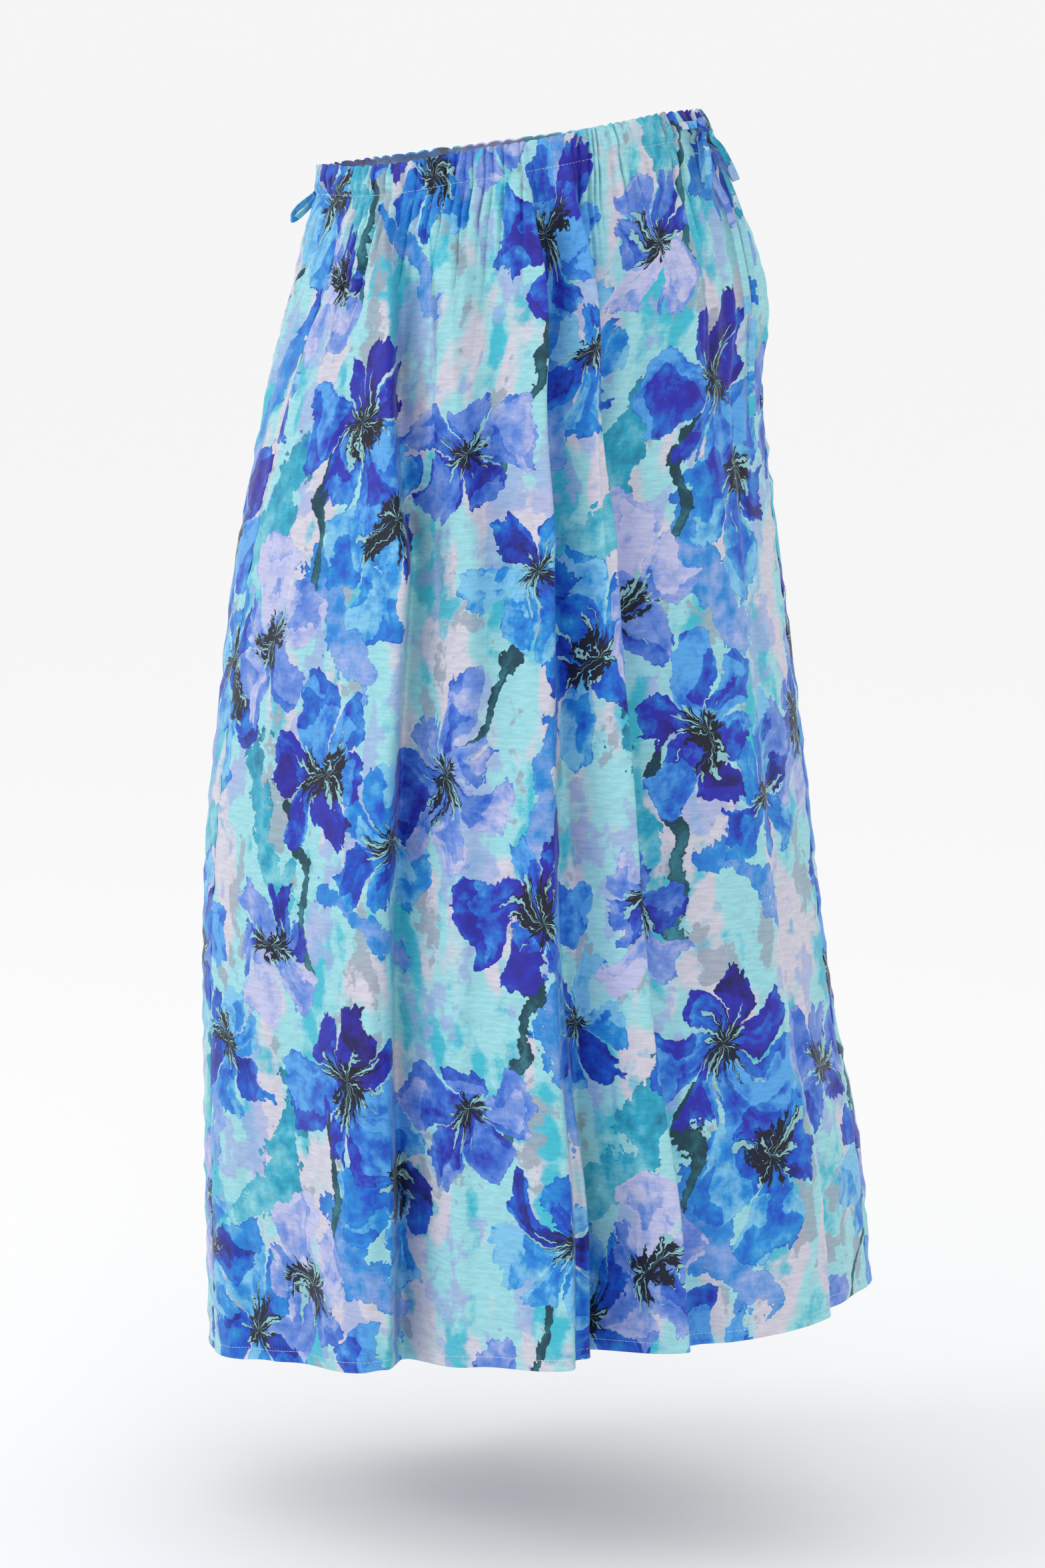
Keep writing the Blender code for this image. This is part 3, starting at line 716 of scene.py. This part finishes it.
def route(points, stations, knot_angle, side, twist):
    """Evenly shared places on a smooth curve through a tie's route, as angle, drop, lift and twist."""
    rows = [(index,) + point for index, point in enumerate(points)]
    steps = np.linspace(0.0, len(points) - 1.0, stations)
    away, drops, lifts = (smooth(rows, column, steps) for column in (1, 2, 3))
    turns = side * math.radians(twist) * np.interp(steps / steps[-1], (TWIST_BEGINS, TWIST_FULL), (0.0, 1.0))
    return list(zip(knot_angle + side * away, drops, lifts, turns))


def loop_route(start, tip, twist, knot_angle, side):
    """A bow loop's places: out from the knot over its back, round the tip and in again."""
    places = []
    for u in np.linspace(0.0, 1.0, LOOP_STATIONS):
        reach = math.sin(math.pi * u)
        spread = LOOP_END_GAP * math.cos(math.pi * u) + LOOP_HALF_GAP * math.sin(2 * math.pi * u)
        turn = math.radians(twist) * reach
        away, drop, lift = (a + (b - a) * reach for a, b in zip(start, tip))
        away -= spread * math.sin(turn) / ARC_PER_DEGREE
        places.append((knot_angle + side * away, drop, lift + spread * math.cos(turn), side * turn))
    return places


def lay_on_print(mesh, cuts):
    """Gives each corner of a mesh its vertex's place on the printed cloth."""
    layer = mesh.uv_layers.new(name="cut")
    for loop in mesh.loops:
        layer.data[loop.index].uv = cuts[loop.vertex_index]


def strip_section():
    """The cross-section of a tie strip: flat, with its folded edges a little fuller."""
    half = 0.5 * TIE_WIDTH
    thick = 0.5 * TIE_THICKNESS
    upper = ((-1.0, 0.0), (-0.93, 0.75), (-0.72, 1.0), (-0.3, 0.72), (0.3, 0.72), (0.72, 1.0), (0.93, 0.75))
    outline = [(x * half, y * thick) for x, y in upper]
    return outline + [(-x, -y) for x, y in outline]


def strip_mesh(name, places):
    """A tie strip swept along its places, and the line of its middle."""
    cut_across, cut_along = next(place for label, place in TIE_CUT_PLACES.items() if name.endswith(label))
    centres = [on_cloth(*place[:3]) for place in places]
    reach = max((centre - centres[0] for centre in centres), key=lambda step: step.length)
    outline = strip_section()
    verts, faces, cuts = [], [], []
    travelled = 0.0
    for index, (angle, drop, _, twist) in enumerate(places):
        ahead = centres[min(index + 1, len(centres) - 1)]
        behind = centres[max(index - 1, 0)]
        out = outward(angle, drop)
        level = out.cross(reach).normalized() * math.cos(twist) + out * math.sin(twist)
        course = (ahead - behind).normalized()
        across = (level - course * level.dot(course)).normalized()
        face = course.cross(across)
        if index:
            travelled += (centres[index] - centres[index - 1]).length
        for x, y in outline:
            verts.append(centres[index] + across * x + face * y)
            cuts.append((cut_across + x, cut_along + travelled))
    sides = len(outline)
    for index in range(len(centres) - 1):
        for k in range(sides):
            low, high = index * sides, (index + 1) * sides
            faces.append((low + k, low + (k + 1) % sides, high + (k + 1) % sides, high + k))
    faces.append(tuple(reversed(range(sides))))
    faces.append(tuple((len(centres) - 1) * sides + k for k in range(sides)))
    mesh = bpy.data.meshes.new(name)
    mesh.from_pydata(verts, [], faces)
    lay_on_print(mesh, cuts)
    mesh.shade_smooth()
    mesh.set_sharp_from_angle(angle=SHARP_ANGLE)
    return mesh, centres


def knot_mesh(name, knot_angle):
    """A bow's pulled knot: a plump core with bands of strip wound across it."""
    rings, sides = KNOT_RINGS, KNOT_SIDES
    out = outward(knot_angle, KNOT_DROP)
    turn = math.atan2(out.y, out.x)
    centre = on_cloth(knot_angle, KNOT_DROP, KNOT_LIFT)
    verts, faces, cuts = [], [], []
    for i in range(rings + 1):
        tilt = math.pi * i / rings
        for k in range(sides):
            spin = 2 * math.pi * k / sides
            x = math.sin(tilt) * math.cos(spin)
            y = math.sin(tilt) * math.sin(spin)
            z = math.cos(tilt)
            wrap = y * 0.9 + z * 0.35
            band = math.exp(-(wrap / 0.42) ** 4)
            groove = math.exp(-((abs(wrap) - 0.47) / 0.10) ** 2)
            pleat = 0.035 * math.sin(9.0 * wrap + 2.0 * x) * band
            size = 0.88 + 0.13 * band - 0.11 * groove + pleat
            local = Vector((x * KNOT_HALF_SIZES[0], y * KNOT_HALF_SIZES[1], z * KNOT_HALF_SIZES[2])) * size
            turned = Vector((local.x * math.cos(turn) - local.y * math.sin(turn),
                             local.x * math.sin(turn) + local.y * math.cos(turn), local.z))
            verts.append(centre + turned)
            cuts.append((0.006 * spin, 0.006 * tilt))
    for i in range(rings):
        for k in range(sides):
            low, high = i * sides, (i + 1) * sides
            faces.append((low + k, high + k, high + (k + 1) % sides, low + (k + 1) % sides))
    mesh = bpy.data.meshes.new(name)
    mesh.from_pydata(verts, [], faces)
    lay_on_print(mesh, cuts)
    mesh.validate()
    mesh.shade_smooth()
    return mesh


def bow(prefix, knot_angle, side, material):
    """A side's bow: its knot, leads, loops and free tails."""
    name = prefix + "_tie_knot"
    new_piece(prefix + "_bow_knot", knot_mesh(name, knot_angle), [material], [name])
    knot_centre = on_cloth(knot_angle, KNOT_DROP, KNOT_LIFT)
    for label, points in (("lead_front", FRONT_LEAD), ("lead_back", BACK_LEAD)):
        mesh, _ = strip_mesh(label, route(points, LEAD_STATIONS, knot_angle, side, 0.0))
        new_piece(f"{prefix}_bow_{label}", mesh, [material], [f"{prefix}_tie_{label}"])
    for name, angle, drop, tip_angle, tip_drop, tip_lift, twist in LOOPS:
        if name.startswith(prefix):
            start, tip = (angle, drop, LOOP_START_LIFT), (tip_angle, tip_drop, tip_lift)
            mesh, _ = strip_mesh(name, loop_route(start, tip, twist, knot_angle, side))
            new_piece(name.replace("tie", "bow"), mesh, [material], [name])
    for label, points in (("tail_short", SHORT_TAIL), ("tail_long", LONG_TAIL)):
        mesh, centres = strip_mesh(label, route(points, TAIL_STATIONS, knot_angle, side, TAIL_TWIST))
        piece = new_piece(f"{prefix}_bow_{label}", mesh, [material], [f"{prefix}_tie_{label}"])


def pocket_bag(side, grid, materials):
    """A pocket's flat bag, which hangs from its seam inside the front panel."""
    points, normals, drops = grid
    rows = [i for i, drop in enumerate(drops) if BAG_TOP <= drop <= BAG_BOTTOM]
    outer = np.zeros((len(rows), BAG_COLUMNS + 1, 3))
    facing = np.zeros_like(outer)
    cuts = np.zeros((len(rows), BAG_COLUMNS + 1, 2))
    for n, i in enumerate(rows):
        low = max(0.0, drops[i] - (BAG_BOTTOM - BAG_CORNER)) / BAG_CORNER
        high = max(0.0, (BAG_TOP + BAG_CORNER) - drops[i]) / BAG_CORNER
        share = BAG_SHARE * (1.0 - BAG_BOTTOM_ROUNDING * low ** 3) * (1.0 - BAG_TOP_ROUNDING * high ** 3)
        places = np.linspace(0.0, share, BAG_COLUMNS + 1) + BAG_FROM_SEAM
        if side == "left":
            places = 1.0 - places[::-1]
        at = places * PANEL_COLUMNS
        for k in range(3):
            outer[n, :, k] = np.interp(at, np.arange(PANEL_COLUMNS + 1), points[i, :, k])
            facing[n, :, k] = np.interp(at, np.arange(PANEL_COLUMNS + 1), normals[i, :, k])
        cuts[n] = np.stack((places, np.full_like(places, -drops[i])), axis=1)
    outer = outer - facing * BAG_INSET
    mesh = shell_mesh(side + "_pocket", outer, outer - facing * BAG_WALL, cuts)
    piece = new_piece(side + "_pocket", mesh, materials, [side + "_pocket_bag"])


class Net:
    """Adds shader nodes to a tree. Each call returns the new node's output socket."""

    def __init__(self, tree):
        self.tree = tree

    def join(self, socket, value):
        """Links a socket to another, or sets its value."""
        if isinstance(value, bpy.types.NodeSocket):
            self.tree.links.new(value, socket)
        elif value is not None:
            socket.default_value = value

    def math(self, operation, a, b=None, c=None):
        node = self.tree.nodes.new("ShaderNodeMath")
        node.operation = operation
        for socket, value in zip(node.inputs, (a, b, c)):
            self.join(socket, value)
        return node.outputs[0]

    def times(self, a, b):
        return self.math("MULTIPLY", a, b)

    def plus(self, a, b):
        return self.math("ADD", a, b)

    def minus(self, a, b):
        return self.math("SUBTRACT", a, b)

    def times_plus(self, a, b, c):
        return self.math("MULTIPLY_ADD", a, b, c)

    def vector(self, operation, a, b):
        node = self.tree.nodes.new("ShaderNodeVectorMath")
        node.operation = operation
        self.join(node.inputs[0], a)
        self.join(node.inputs[1], b)
        return node.outputs["Vector"]

    def scaled(self, vector, scale):
        node = self.tree.nodes.new("ShaderNodeVectorMath")
        node.operation = "SCALE"
        self.join(node.inputs[0], vector)
        self.join(node.inputs["Scale"], scale)
        return node.outputs["Vector"]

    def combine(self, x, y, z=0.0):
        node = self.tree.nodes.new("ShaderNodeCombineXYZ")
        for socket, value in zip(node.inputs, (x, y, z)):
            self.join(socket, value)
        return node.outputs[0]

    def separate(self, vector):
        node = self.tree.nodes.new("ShaderNodeSeparateXYZ")
        self.join(node.inputs[0], vector)
        return node.outputs

    def noise(self, at, scale, detail=2.0, roughness=0.5, output="Fac"):
        node = self.tree.nodes.new("ShaderNodeTexNoise")
        node.noise_dimensions = "2D"
        self.join(node.inputs["Vector"], at)
        node.inputs["Scale"].default_value = scale
        node.inputs["Detail"].default_value = detail
        node.inputs["Roughness"].default_value = roughness
        return node.outputs[output]

    def chance(self, at, output="Value"):
        node = self.tree.nodes.new("ShaderNodeTexWhiteNoise")
        node.noise_dimensions = "1D"
        self.join(node.inputs["W"], at)
        return node.outputs[output]

    def ease(self, value, low, high, to_low=0.0, to_high=1.0):
        node = self.tree.nodes.new("ShaderNodeMapRange")
        node.interpolation_type = "SMOOTHSTEP"
        for socket, given in zip(node.inputs, (value, low, high, to_low, to_high)):
            self.join(socket, given)
        return node.outputs[0]

    def mix(self, share, a, b):
        node = self.tree.nodes.new("ShaderNodeMix")
        node.data_type = "RGBA"
        self.join(node.inputs[0], share)
        self.join(node.inputs[6], a)
        self.join(node.inputs[7], b)
        return node.outputs[2]

    def ramp(self, at, stops):
        node = self.tree.nodes.new("ShaderNodeValToRGB")
        elements = node.color_ramp.elements
        while len(elements) < len(stops):
            elements.new(0.5)
        for element, (place, colour) in zip(elements, stops):
            element.position = place
            element.color = (*colour, 1.0)
        self.join(node.inputs[0], at)
        return node.outputs[0]


# The print: loose watercolour blossoms, sprigs and washes on a staggered repeat, in linear colours
CELL_WIDTH = 0.225
CELL_HEIGHT = 0.25
REPEAT_CELLS = 2
BLOSSOM_JITTER = 0.045
STROKE_JITTER = 0.05
HEART_SHARE = 0.25
HEART_ROUGHNESS = 0.060
REVERSE_FADE = 0.42
# Slub tone and painted crinkle shade: what the cloth's colour is multiplied by in the crinkles' hollows and
# on their tops
SLUB_TONE_AND_CRINKLE_SHADE = (0.76, 0.88)
WARP_PITCH = 0.0007
WEFT_PITCH = 0.0006
PAPER = (0.70, 0.68, 0.79)
AQUA = (0.36, 0.76, 0.83)
TURQUOISE = (0.02, 0.53, 0.70)
LILAC = (0.38, 0.47, 0.82)
GREY = (0.34, 0.41, 0.51)
NAVY = (0.003, 0.006, 0.022)
TEAL = (0.004, 0.060, 0.095)
DEEP = ((0.0, (0.10, 0.42, 0.90)), (0.22, (0.012, 0.18, 0.72)), (0.45, (0.018, 0.028, 0.50)),
        (0.75, (0.022, 0.010, 0.32)), (1.0, (0.006, 0.006, 0.10)))
AZURE = ((0.0, (0.22, 0.60, 0.90)), (0.25, (0.014, 0.30, 0.78)), (0.55, (0.004, 0.09, 0.64)),
         (0.8, (0.008, 0.020, 0.36)), (1.0, (0.004, 0.008, 0.12)))
SOFT = ((0.0, (0.58, 0.60, 0.88)), (0.30, (0.20, 0.34, 0.81)), (0.60, (0.035, 0.17, 0.70)),
        (0.85, (0.016, 0.03, 0.48)), (1.0, (0.010, 0.012, 0.24)))
LEAF = ((0.0, (0.30, 0.74, 0.82)), (0.35, (0.02, 0.42, 0.62)), (0.65, (0.008, 0.15, 0.30)),
        (1.0, (0.003, 0.03, 0.06)))
WASH = ((0.0, (0.42, 0.52, 0.90)), (0.40, (0.02, 0.28, 0.76)), (0.75, (0.01, 0.08, 0.58)),
        (1.0, (0.01, 0.02, 0.30)))
STEM = ((0.0, (0.05, 0.30, 0.38)), (0.4, TEAL), (1.0, NAVY))
BLOSSOMS = (
    # x and y of the first cell, radius, tones, other tones, share of the others, seed
    (0.175, 0.105, 0.071, AZURE, SOFT, 0.25, 17.0),
    (0.050, 0.030, 0.071, SOFT, SOFT, 0.00, 3.0),
    (0.110, 0.180, 0.075, DEEP, AZURE, 0.25, 41.0),
)
STROKES = (
    # x and y of the first cell, length, half width, lean in radians, bend, tones, share of the cells, seed
    (0.020, 0.110, 0.100, 0.0200, 0.30, 0.5, LEAF, 0.8, 5.0),
    (0.130, 0.040, 0.090, 0.0140, -0.25, 0.5, WASH, 0.6, 13.0),
    (0.080, 0.080, 0.130, 0.0046, 0.10, 1.2, STEM, 0.9, 29.0),
)


def warped(net, at, big, fine):
    """Places pushed about by noise, so that painted edges come out loose."""
    wide = net.vector("SUBTRACT", net.noise(at, 26.0, 0.0, output="Color"), (0.5, 0.5, 0.5))
    close = net.vector("SUBTRACT", net.noise(at, 190.0, 1.0, output="Color"), (0.5, 0.5, 0.5))
    moved = net.vector("ADD", at, net.scaled(wide, big))
    return net.vector("ADD", moved, net.scaled(close, fine))


def cell(net, at, x, y, seed, jitter):
    """The offset from the middle of a motif's cell, and two sets of three chances for the cell."""
    parts = net.separate(net.vector("SUBTRACT", at, (x, y, 0.0)))
    column = net.math("FLOOR", net.math("DIVIDE", parts[0], CELL_WIDTH))
    odd = net.math("FLOORED_MODULO", column, float(REPEAT_CELLS))
    lowered = net.times_plus(odd, CELL_HEIGHT / REPEAT_CELLS, parts[1])
    row = net.math("FLOOR", net.math("DIVIDE", lowered, CELL_HEIGHT))
    key = net.times_plus(net.math("FLOORED_MODULO", row, float(REPEAT_CELLS)), 7.0, seed)
    key = net.times_plus(odd, 3.0, key)
    first = net.separate(net.chance(key, "Color"))
    second = net.separate(net.chance(net.plus(key, 0.5), "Color"))
    away_x = net.minus(parts[0], net.times(net.plus(column, 0.5), CELL_WIDTH))
    away_y = net.minus(lowered, net.times(net.plus(row, 0.5), CELL_HEIGHT))
    away_x = net.times_plus(net.minus(first[0], 0.5), jitter, away_x)
    away_y = net.times_plus(net.minus(first[1], 0.5), jitter, away_y)
    return away_x, away_y, first, second


def blossom(net, under, at, mottle, patch, row):
    """Paints a layer of loose blossoms, one a cell, over the colour under it."""
    x, y, radius, tones, others, share, seed = row
    away_x, away_y, first, second = cell(net, at, x, y, seed, BLOSSOM_JITTER)
    away_y = net.times(away_y, net.times_plus(second[2], 0.35, 0.78))
    distance = net.math("SQRT", net.plus(net.times(away_x, away_x), net.times(away_y, away_y)))
    petals = net.plus(net.math("FLOOR", net.times(second[0], 2.99)), 5.0)
    angle = net.plus(net.math("DIVIDE", net.math("ARCTAN2", away_y, away_x), 2 * math.pi), 1.0)
    spread = net.plus(net.times(angle, petals), second[1])
    petal = net.math("FLOOR", spread)
    across = net.math("ABSOLUTE", net.minus(net.minus(spread, petal), 0.5))
    key = net.times_plus(first[2], 50.0, net.math("FLOORED_MODULO", petal, petals))
    draw = net.separate(net.chance(key, "Color"))
    streak = net.noise(net.combine(net.times(spread, 4.5), net.times(distance, 34.0)), 1.0, 2.0)
    rough = net.minus(streak, 0.5)
    reach = net.times_plus(draw[0], 0.48 * radius, 0.60 * radius)
    cut_in = net.math("POWER", net.times(across, 2.0), net.times_plus(draw[2], 5.0, 2.6))
    edge = net.times(reach, net.times_plus(cut_in, -0.55, 1.0))
    inside = net.times_plus(rough, 0.028, net.minus(edge, distance))
    mask = net.ease(inside, 0.0, 0.0007)
    rim = net.ease(inside, 0.0, 0.0022, 0.30, 0.0)
    tone = net.times_plus(draw[1], 0.65, -0.12)
    tone = net.times_plus(rough, 0.60, tone)
    tone = net.times_plus(mottle, 0.8, tone)
    tone = net.plus(net.plus(tone, rim), patch)
    tone = net.times_plus(distance, -0.35 / radius, net.plus(tone, 0.22))
    other = net.math("LESS_THAN", first[2], share)
    paint = net.mix(other, net.ramp(tone, tones), net.ramp(tone, others))
    gap = net.times_plus(rough, 0.16, across)
    mask = net.times(mask, net.ease(gap, 0.475, 0.49, 1.0, 0.10))
    painted = net.mix(mask, under, paint)
    heart = net.times_plus(rough, HEART_ROUGHNESS, HEART_SHARE * radius)
    blot = net.ease(net.minus(heart, distance), 0.0, 0.0010)
    flecks = net.ease(rough, 0.115, 0.13, 0.0, 0.8)
    heart_colour = net.mix(flecks, (*NAVY, 1.0), (*AQUA, 1.0))
    return net.mix(blot, painted, heart_colour)


def stroke(net, under, at, mottle, row):
    """Paints a layer of brush strokes, tapered and dry at their ends, over the colour under it."""
    x, y, length, half, lean, bend, tones, share, seed = row
    away_x, away_y, first, second = cell(net, at, x, y, seed, STROKE_JITTER)
    turn = net.times_plus(net.minus(second[0], 0.5), 1.2, lean)
    sine, cosine = net.math("SINE", turn), net.math("COSINE", turn)
    run = net.plus(net.times(away_x, sine), net.times(away_y, cosine))
    side = net.minus(net.times(away_x, cosine), net.times(away_y, sine))
    sway = net.math("SINE", net.times_plus(run, 38.0, net.times(second[1], 6.0)))
    side = net.times_plus(sway, bend * half, side)
    past = net.math("MAXIMUM", net.minus(net.math("ABSOLUTE", run), length / 2), 0.0)
    apart = net.math("SQRT", net.plus(net.math("POWER", net.times(past, 0.6), 2.0),
                                      net.math("POWER", side, 2.0)))
    dry = net.times_plus(mottle, 2.2 * half, net.times_plus(second[2], 0.5 * half, 0.75 * half))
    depth = net.minus(dry, apart)
    mask = net.times(net.ease(depth, 0.0, 0.0008), net.math("LESS_THAN", first[2], share))
    rim = net.ease(depth, 0.0, 0.0022, 0.30, 0.0)
    tone = net.times_plus(mottle, 0.8, net.plus(rim, 0.30))
    tone = net.times_plus(run, 2.2, tone)
    return net.mix(mask, under, net.ramp(tone, tones))


def print_group():
    """The printed design, as a node group from a place in the cut to a colour."""
    tree = bpy.data.node_groups.new("watercolour_print", "ShaderNodeTree")
    tree.interface.new_socket("Place", in_out="INPUT", socket_type="NodeSocketVector")
    tree.interface.new_socket("Color", in_out="OUTPUT", socket_type="NodeSocketColor")
    net = Net(tree)
    given = tree.nodes.new("NodeGroupInput")
    place = given.outputs["Place"]
    at = warped(net, place, 0.030, 0.0055)
    wash = net.noise(net.vector("MULTIPLY", place, (1.0, 0.5, 1.0)), 17.0, 2.0, 0.6, output="Color")
    washes = net.separate(wash)
    mottle = net.minus(net.noise(place, 55.0, 3.0, 0.6), 0.5)
    glaze = net.noise(at, 24.0, 1.0)
    patch = net.ease(glaze, 0.50, 0.51, 0.0, 0.26)
    colour = net.mix(net.ease(washes[0], 0.40, 0.50), (*PAPER, 1.0), (*AQUA, 1.0))
    watery = net.times_plus(mottle, 0.35, washes[1])
    colour = net.mix(net.ease(watery, 0.54, 0.66, 0.0, 0.9), colour, (*TURQUOISE, 1.0))
    dusk = net.times_plus(mottle, 0.5, washes[2])
    colour = net.mix(net.ease(dusk, 0.58, 0.66, 0.0, 0.75), colour, (*LILAC, 1.0))
    colour = net.mix(net.ease(dusk, 0.31, 0.36, 0.8, 0.0), colour, (*GREY, 1.0))
    for row in STROKES[:2]:
        colour = stroke(net, colour, at, mottle, row)
    colour = blossom(net, colour, at, mottle, patch, BLOSSOMS[0])
    colour = stroke(net, colour, at, mottle, STROKES[2])
    for row in BLOSSOMS[1:]:
        colour = blossom(net, colour, at, mottle, patch, row)
    given = tree.nodes.new("NodeGroupOutput")
    net.join(given.inputs["Color"], colour)
    return tree


def cloth_bump(net, place, shader, strength):
    """Level slub lines, slanted crinkles and the weave, as a bump."""
    parts = net.separate(place)
    level = net.combine(net.times(parts[0], 55.0), net.times_plus(parts[0], 40.0, net.times(parts[1], 420.0)))
    slub = net.noise(level, 1.0, 3.0, 0.6)
    slanted = net.combine(net.times_plus(parts[1], 60.0, net.times(parts[0], 70.0)),
                          net.times_plus(parts[0], -70.0, net.times(parts[1], 190.0)))
    slant = net.noise(slanted, 1.0, 3.0, 0.55)
    warp_threads = net.math("SINE", net.times(parts[0], 2 * math.pi / WARP_PITCH))
    weft_threads = net.math("SINE", net.times(parts[1], 2 * math.pi / WEFT_PITCH))
    height = net.times_plus(slant, 1.1, slub)
    height = net.times_plus(net.times(warp_threads, weft_threads), 0.05, height)
    bump = net.tree.nodes.new("ShaderNodeBump")
    bump.inputs["Strength"].default_value = strength
    bump.inputs["Distance"].default_value = 0.0006
    net.join(bump.inputs["Height"], height)
    net.join(shader.inputs["Normal"], bump.outputs[0])
    return slub, slant


def cloth_material(name, group, shift, fade):
    """Printed cloth: the design, a little paler where it is the reverse side, darkened along the bump by slub
    tone and painted crinkle shade.
    """
    material = bpy.data.materials.new(name)
    material.use_nodes = True
    tree = material.node_tree
    net = Net(tree)
    shader = tree.nodes["Principled BSDF"]
    uv = tree.nodes.new("ShaderNodeUVMap")
    uv.uv_map = "cut"
    place = net.vector("ADD", uv.outputs[0], (*shift, 0.0))
    painted = tree.nodes.new("ShaderNodeGroup")
    painted.node_tree = group
    net.join(painted.inputs["Place"], place)
    slub, slant = cloth_bump(net, place, shader, 0.8)
    # Slub tone and painted crinkle shade: the colour is darkened where the bump's slub and crinkle heights
    # are low
    thread = net.ease(net.times_plus(slant, 0.5, slub), 0.55, 0.95, *SLUB_TONE_AND_CRINKLE_SHADE)
    colour = net.mix(fade, painted.outputs["Color"], (*PAPER, 1.0))
    tinted = net.vector("MULTIPLY", colour, net.combine(thread, thread, thread))
    net.join(shader.inputs["Base Color"], tinted)
    net.join(shader.inputs["Roughness"], net.ease(slub, 0.3, 0.7, 0.52, 0.66))
    shader.inputs["Specular IOR Level"].default_value = 0.35
    shader.inputs["Sheen Weight"].default_value = 0.15
    shader.inputs["Sheen Roughness"].default_value = 0.4
    return material


def thread_material():
    """White sewing thread with a fine twist."""
    material = bpy.data.materials.new("thread")
    material.use_nodes = True
    net = Net(material.node_tree)
    shader = material.node_tree.nodes["Principled BSDF"]
    place = material.node_tree.nodes.new("ShaderNodeNewGeometry").outputs["Position"]
    twist = net.noise(place, 1600.0, 1.0)
    net.join(shader.inputs["Base Color"], net.mix(twist, (0.70, 0.74, 0.80, 1.0), (0.86, 0.87, 0.90, 1.0)))
    net.join(shader.inputs["Roughness"], net.ease(twist, 0.3, 0.7, 0.45, 0.6))
    return material


def floor_material():
    """The pale studio floor."""
    material = bpy.data.materials.new("floor")
    material.use_nodes = True
    shader = material.node_tree.nodes["Principled BSDF"]
    shader.inputs["Base Color"].default_value = (FLOOR_GREY, FLOOR_GREY, FLOOR_GREY, 1.0)
    shader.inputs["Roughness"].default_value = 0.8
    return material


def studio():
    """A pale floor, soft lights from the left and the front, and a white surround."""
    bpy.ops.mesh.primitive_plane_add(size=FLOOR_SIZE, location=(0.0, 0.0, cad_box[0][2] - FLOOR_DROP))
    floor = bpy.context.object
    floor.name = "floor"
    floor.data.materials.append(floor_material())
    for name, place, size, watts in LIGHTS:
        light = bpy.data.objects.new(name, bpy.data.lights.new(name, "AREA"))
        light.data.size = size
        light.data.energy = watts
        light.location = place
        aim = Vector(LIGHT_AIM) - light.location
        light.rotation_euler = aim.to_track_quat("-Z", "Y").to_euler()
        bpy.context.scene.collection.objects.link(light)
    world = bpy.data.worlds.new("surround")
    world.use_nodes = True
    world.node_tree.nodes["Background"].inputs[0].default_value = (1.0, 1.0, 1.0, 1.0)
    world.node_tree.nodes["Background"].inputs[1].default_value = 1.0
    bpy.context.scene.world = world
    bpy.context.scene.view_settings.view_transform = "Standard"


def camera():
    """The photograph's camera, aimed so that the origin lands on its pixel."""
    azimuth = math.radians(CAMERA_AZIMUTH)
    below = math.atan(CAMERA_HEIGHT / CAMERA_DISTANCE)
    below += math.atan((IMAGE_HEIGHT / 2 - ORIGIN_Y) / FOCAL_PIXELS)
    turn = math.atan((IMAGE_WIDTH / 2 - ORIGIN_X) / FOCAL_PIXELS)
    lens = bpy.data.cameras.new("camera")
    lens.sensor_fit = "VERTICAL"
    lens.sensor_height = SENSOR_HEIGHT
    lens.lens = FOCAL_PIXELS * SENSOR_HEIGHT / IMAGE_HEIGHT
    eye = bpy.data.objects.new("camera", lens)
    eye.location = (CAMERA_DISTANCE * math.sin(azimuth), -CAMERA_DISTANCE * math.cos(azimuth), CAMERA_HEIGHT)
    eye.rotation_euler = (math.pi / 2 - below, 0.0, azimuth - turn)
    bpy.context.scene.collection.objects.link(eye)
    bpy.context.scene.camera = eye


def main():
    camera()
    group = print_group()
    outside = cloth_material("printed_cloth", group, (0.0, 0.0), 0.0)
    inside = cloth_material("printed_cloth_reverse", group, (0.0, 0.0), REVERSE_FADE)
    tie = cloth_material("tie_cloth", group, TIE_PRINT_SHIFT, 0.0)
    thread = thread_material()
    grids = {}
    for panel in ("front", "back"):
        grids[panel] = cloth_panel(panel, [outside, inside])
        points, normals, drops = grids[panel]
        casing_row = int(np.argmin(np.abs(drops - CASING_HEIGHT)))
        hem_row = int(np.argmin(np.abs(drops - (LENGTH - HEM_HEIGHT))))
        stitch_line(panel + "_casing_stitches", points[casing_row], normals[casing_row], thread)
        stitch_line(panel + "_hem_stitches", points[hem_row], normals[hem_row], thread)
    for side in ("left", "right"):
        pocket_bag(side, grids["front"], [inside, inside])
    bow("left", LEFT_KNOT_ANGLE, 1.0, tie)
    bow("right", RIGHT_KNOT_ANGLE, -1.0, tie)
    studio()


main()
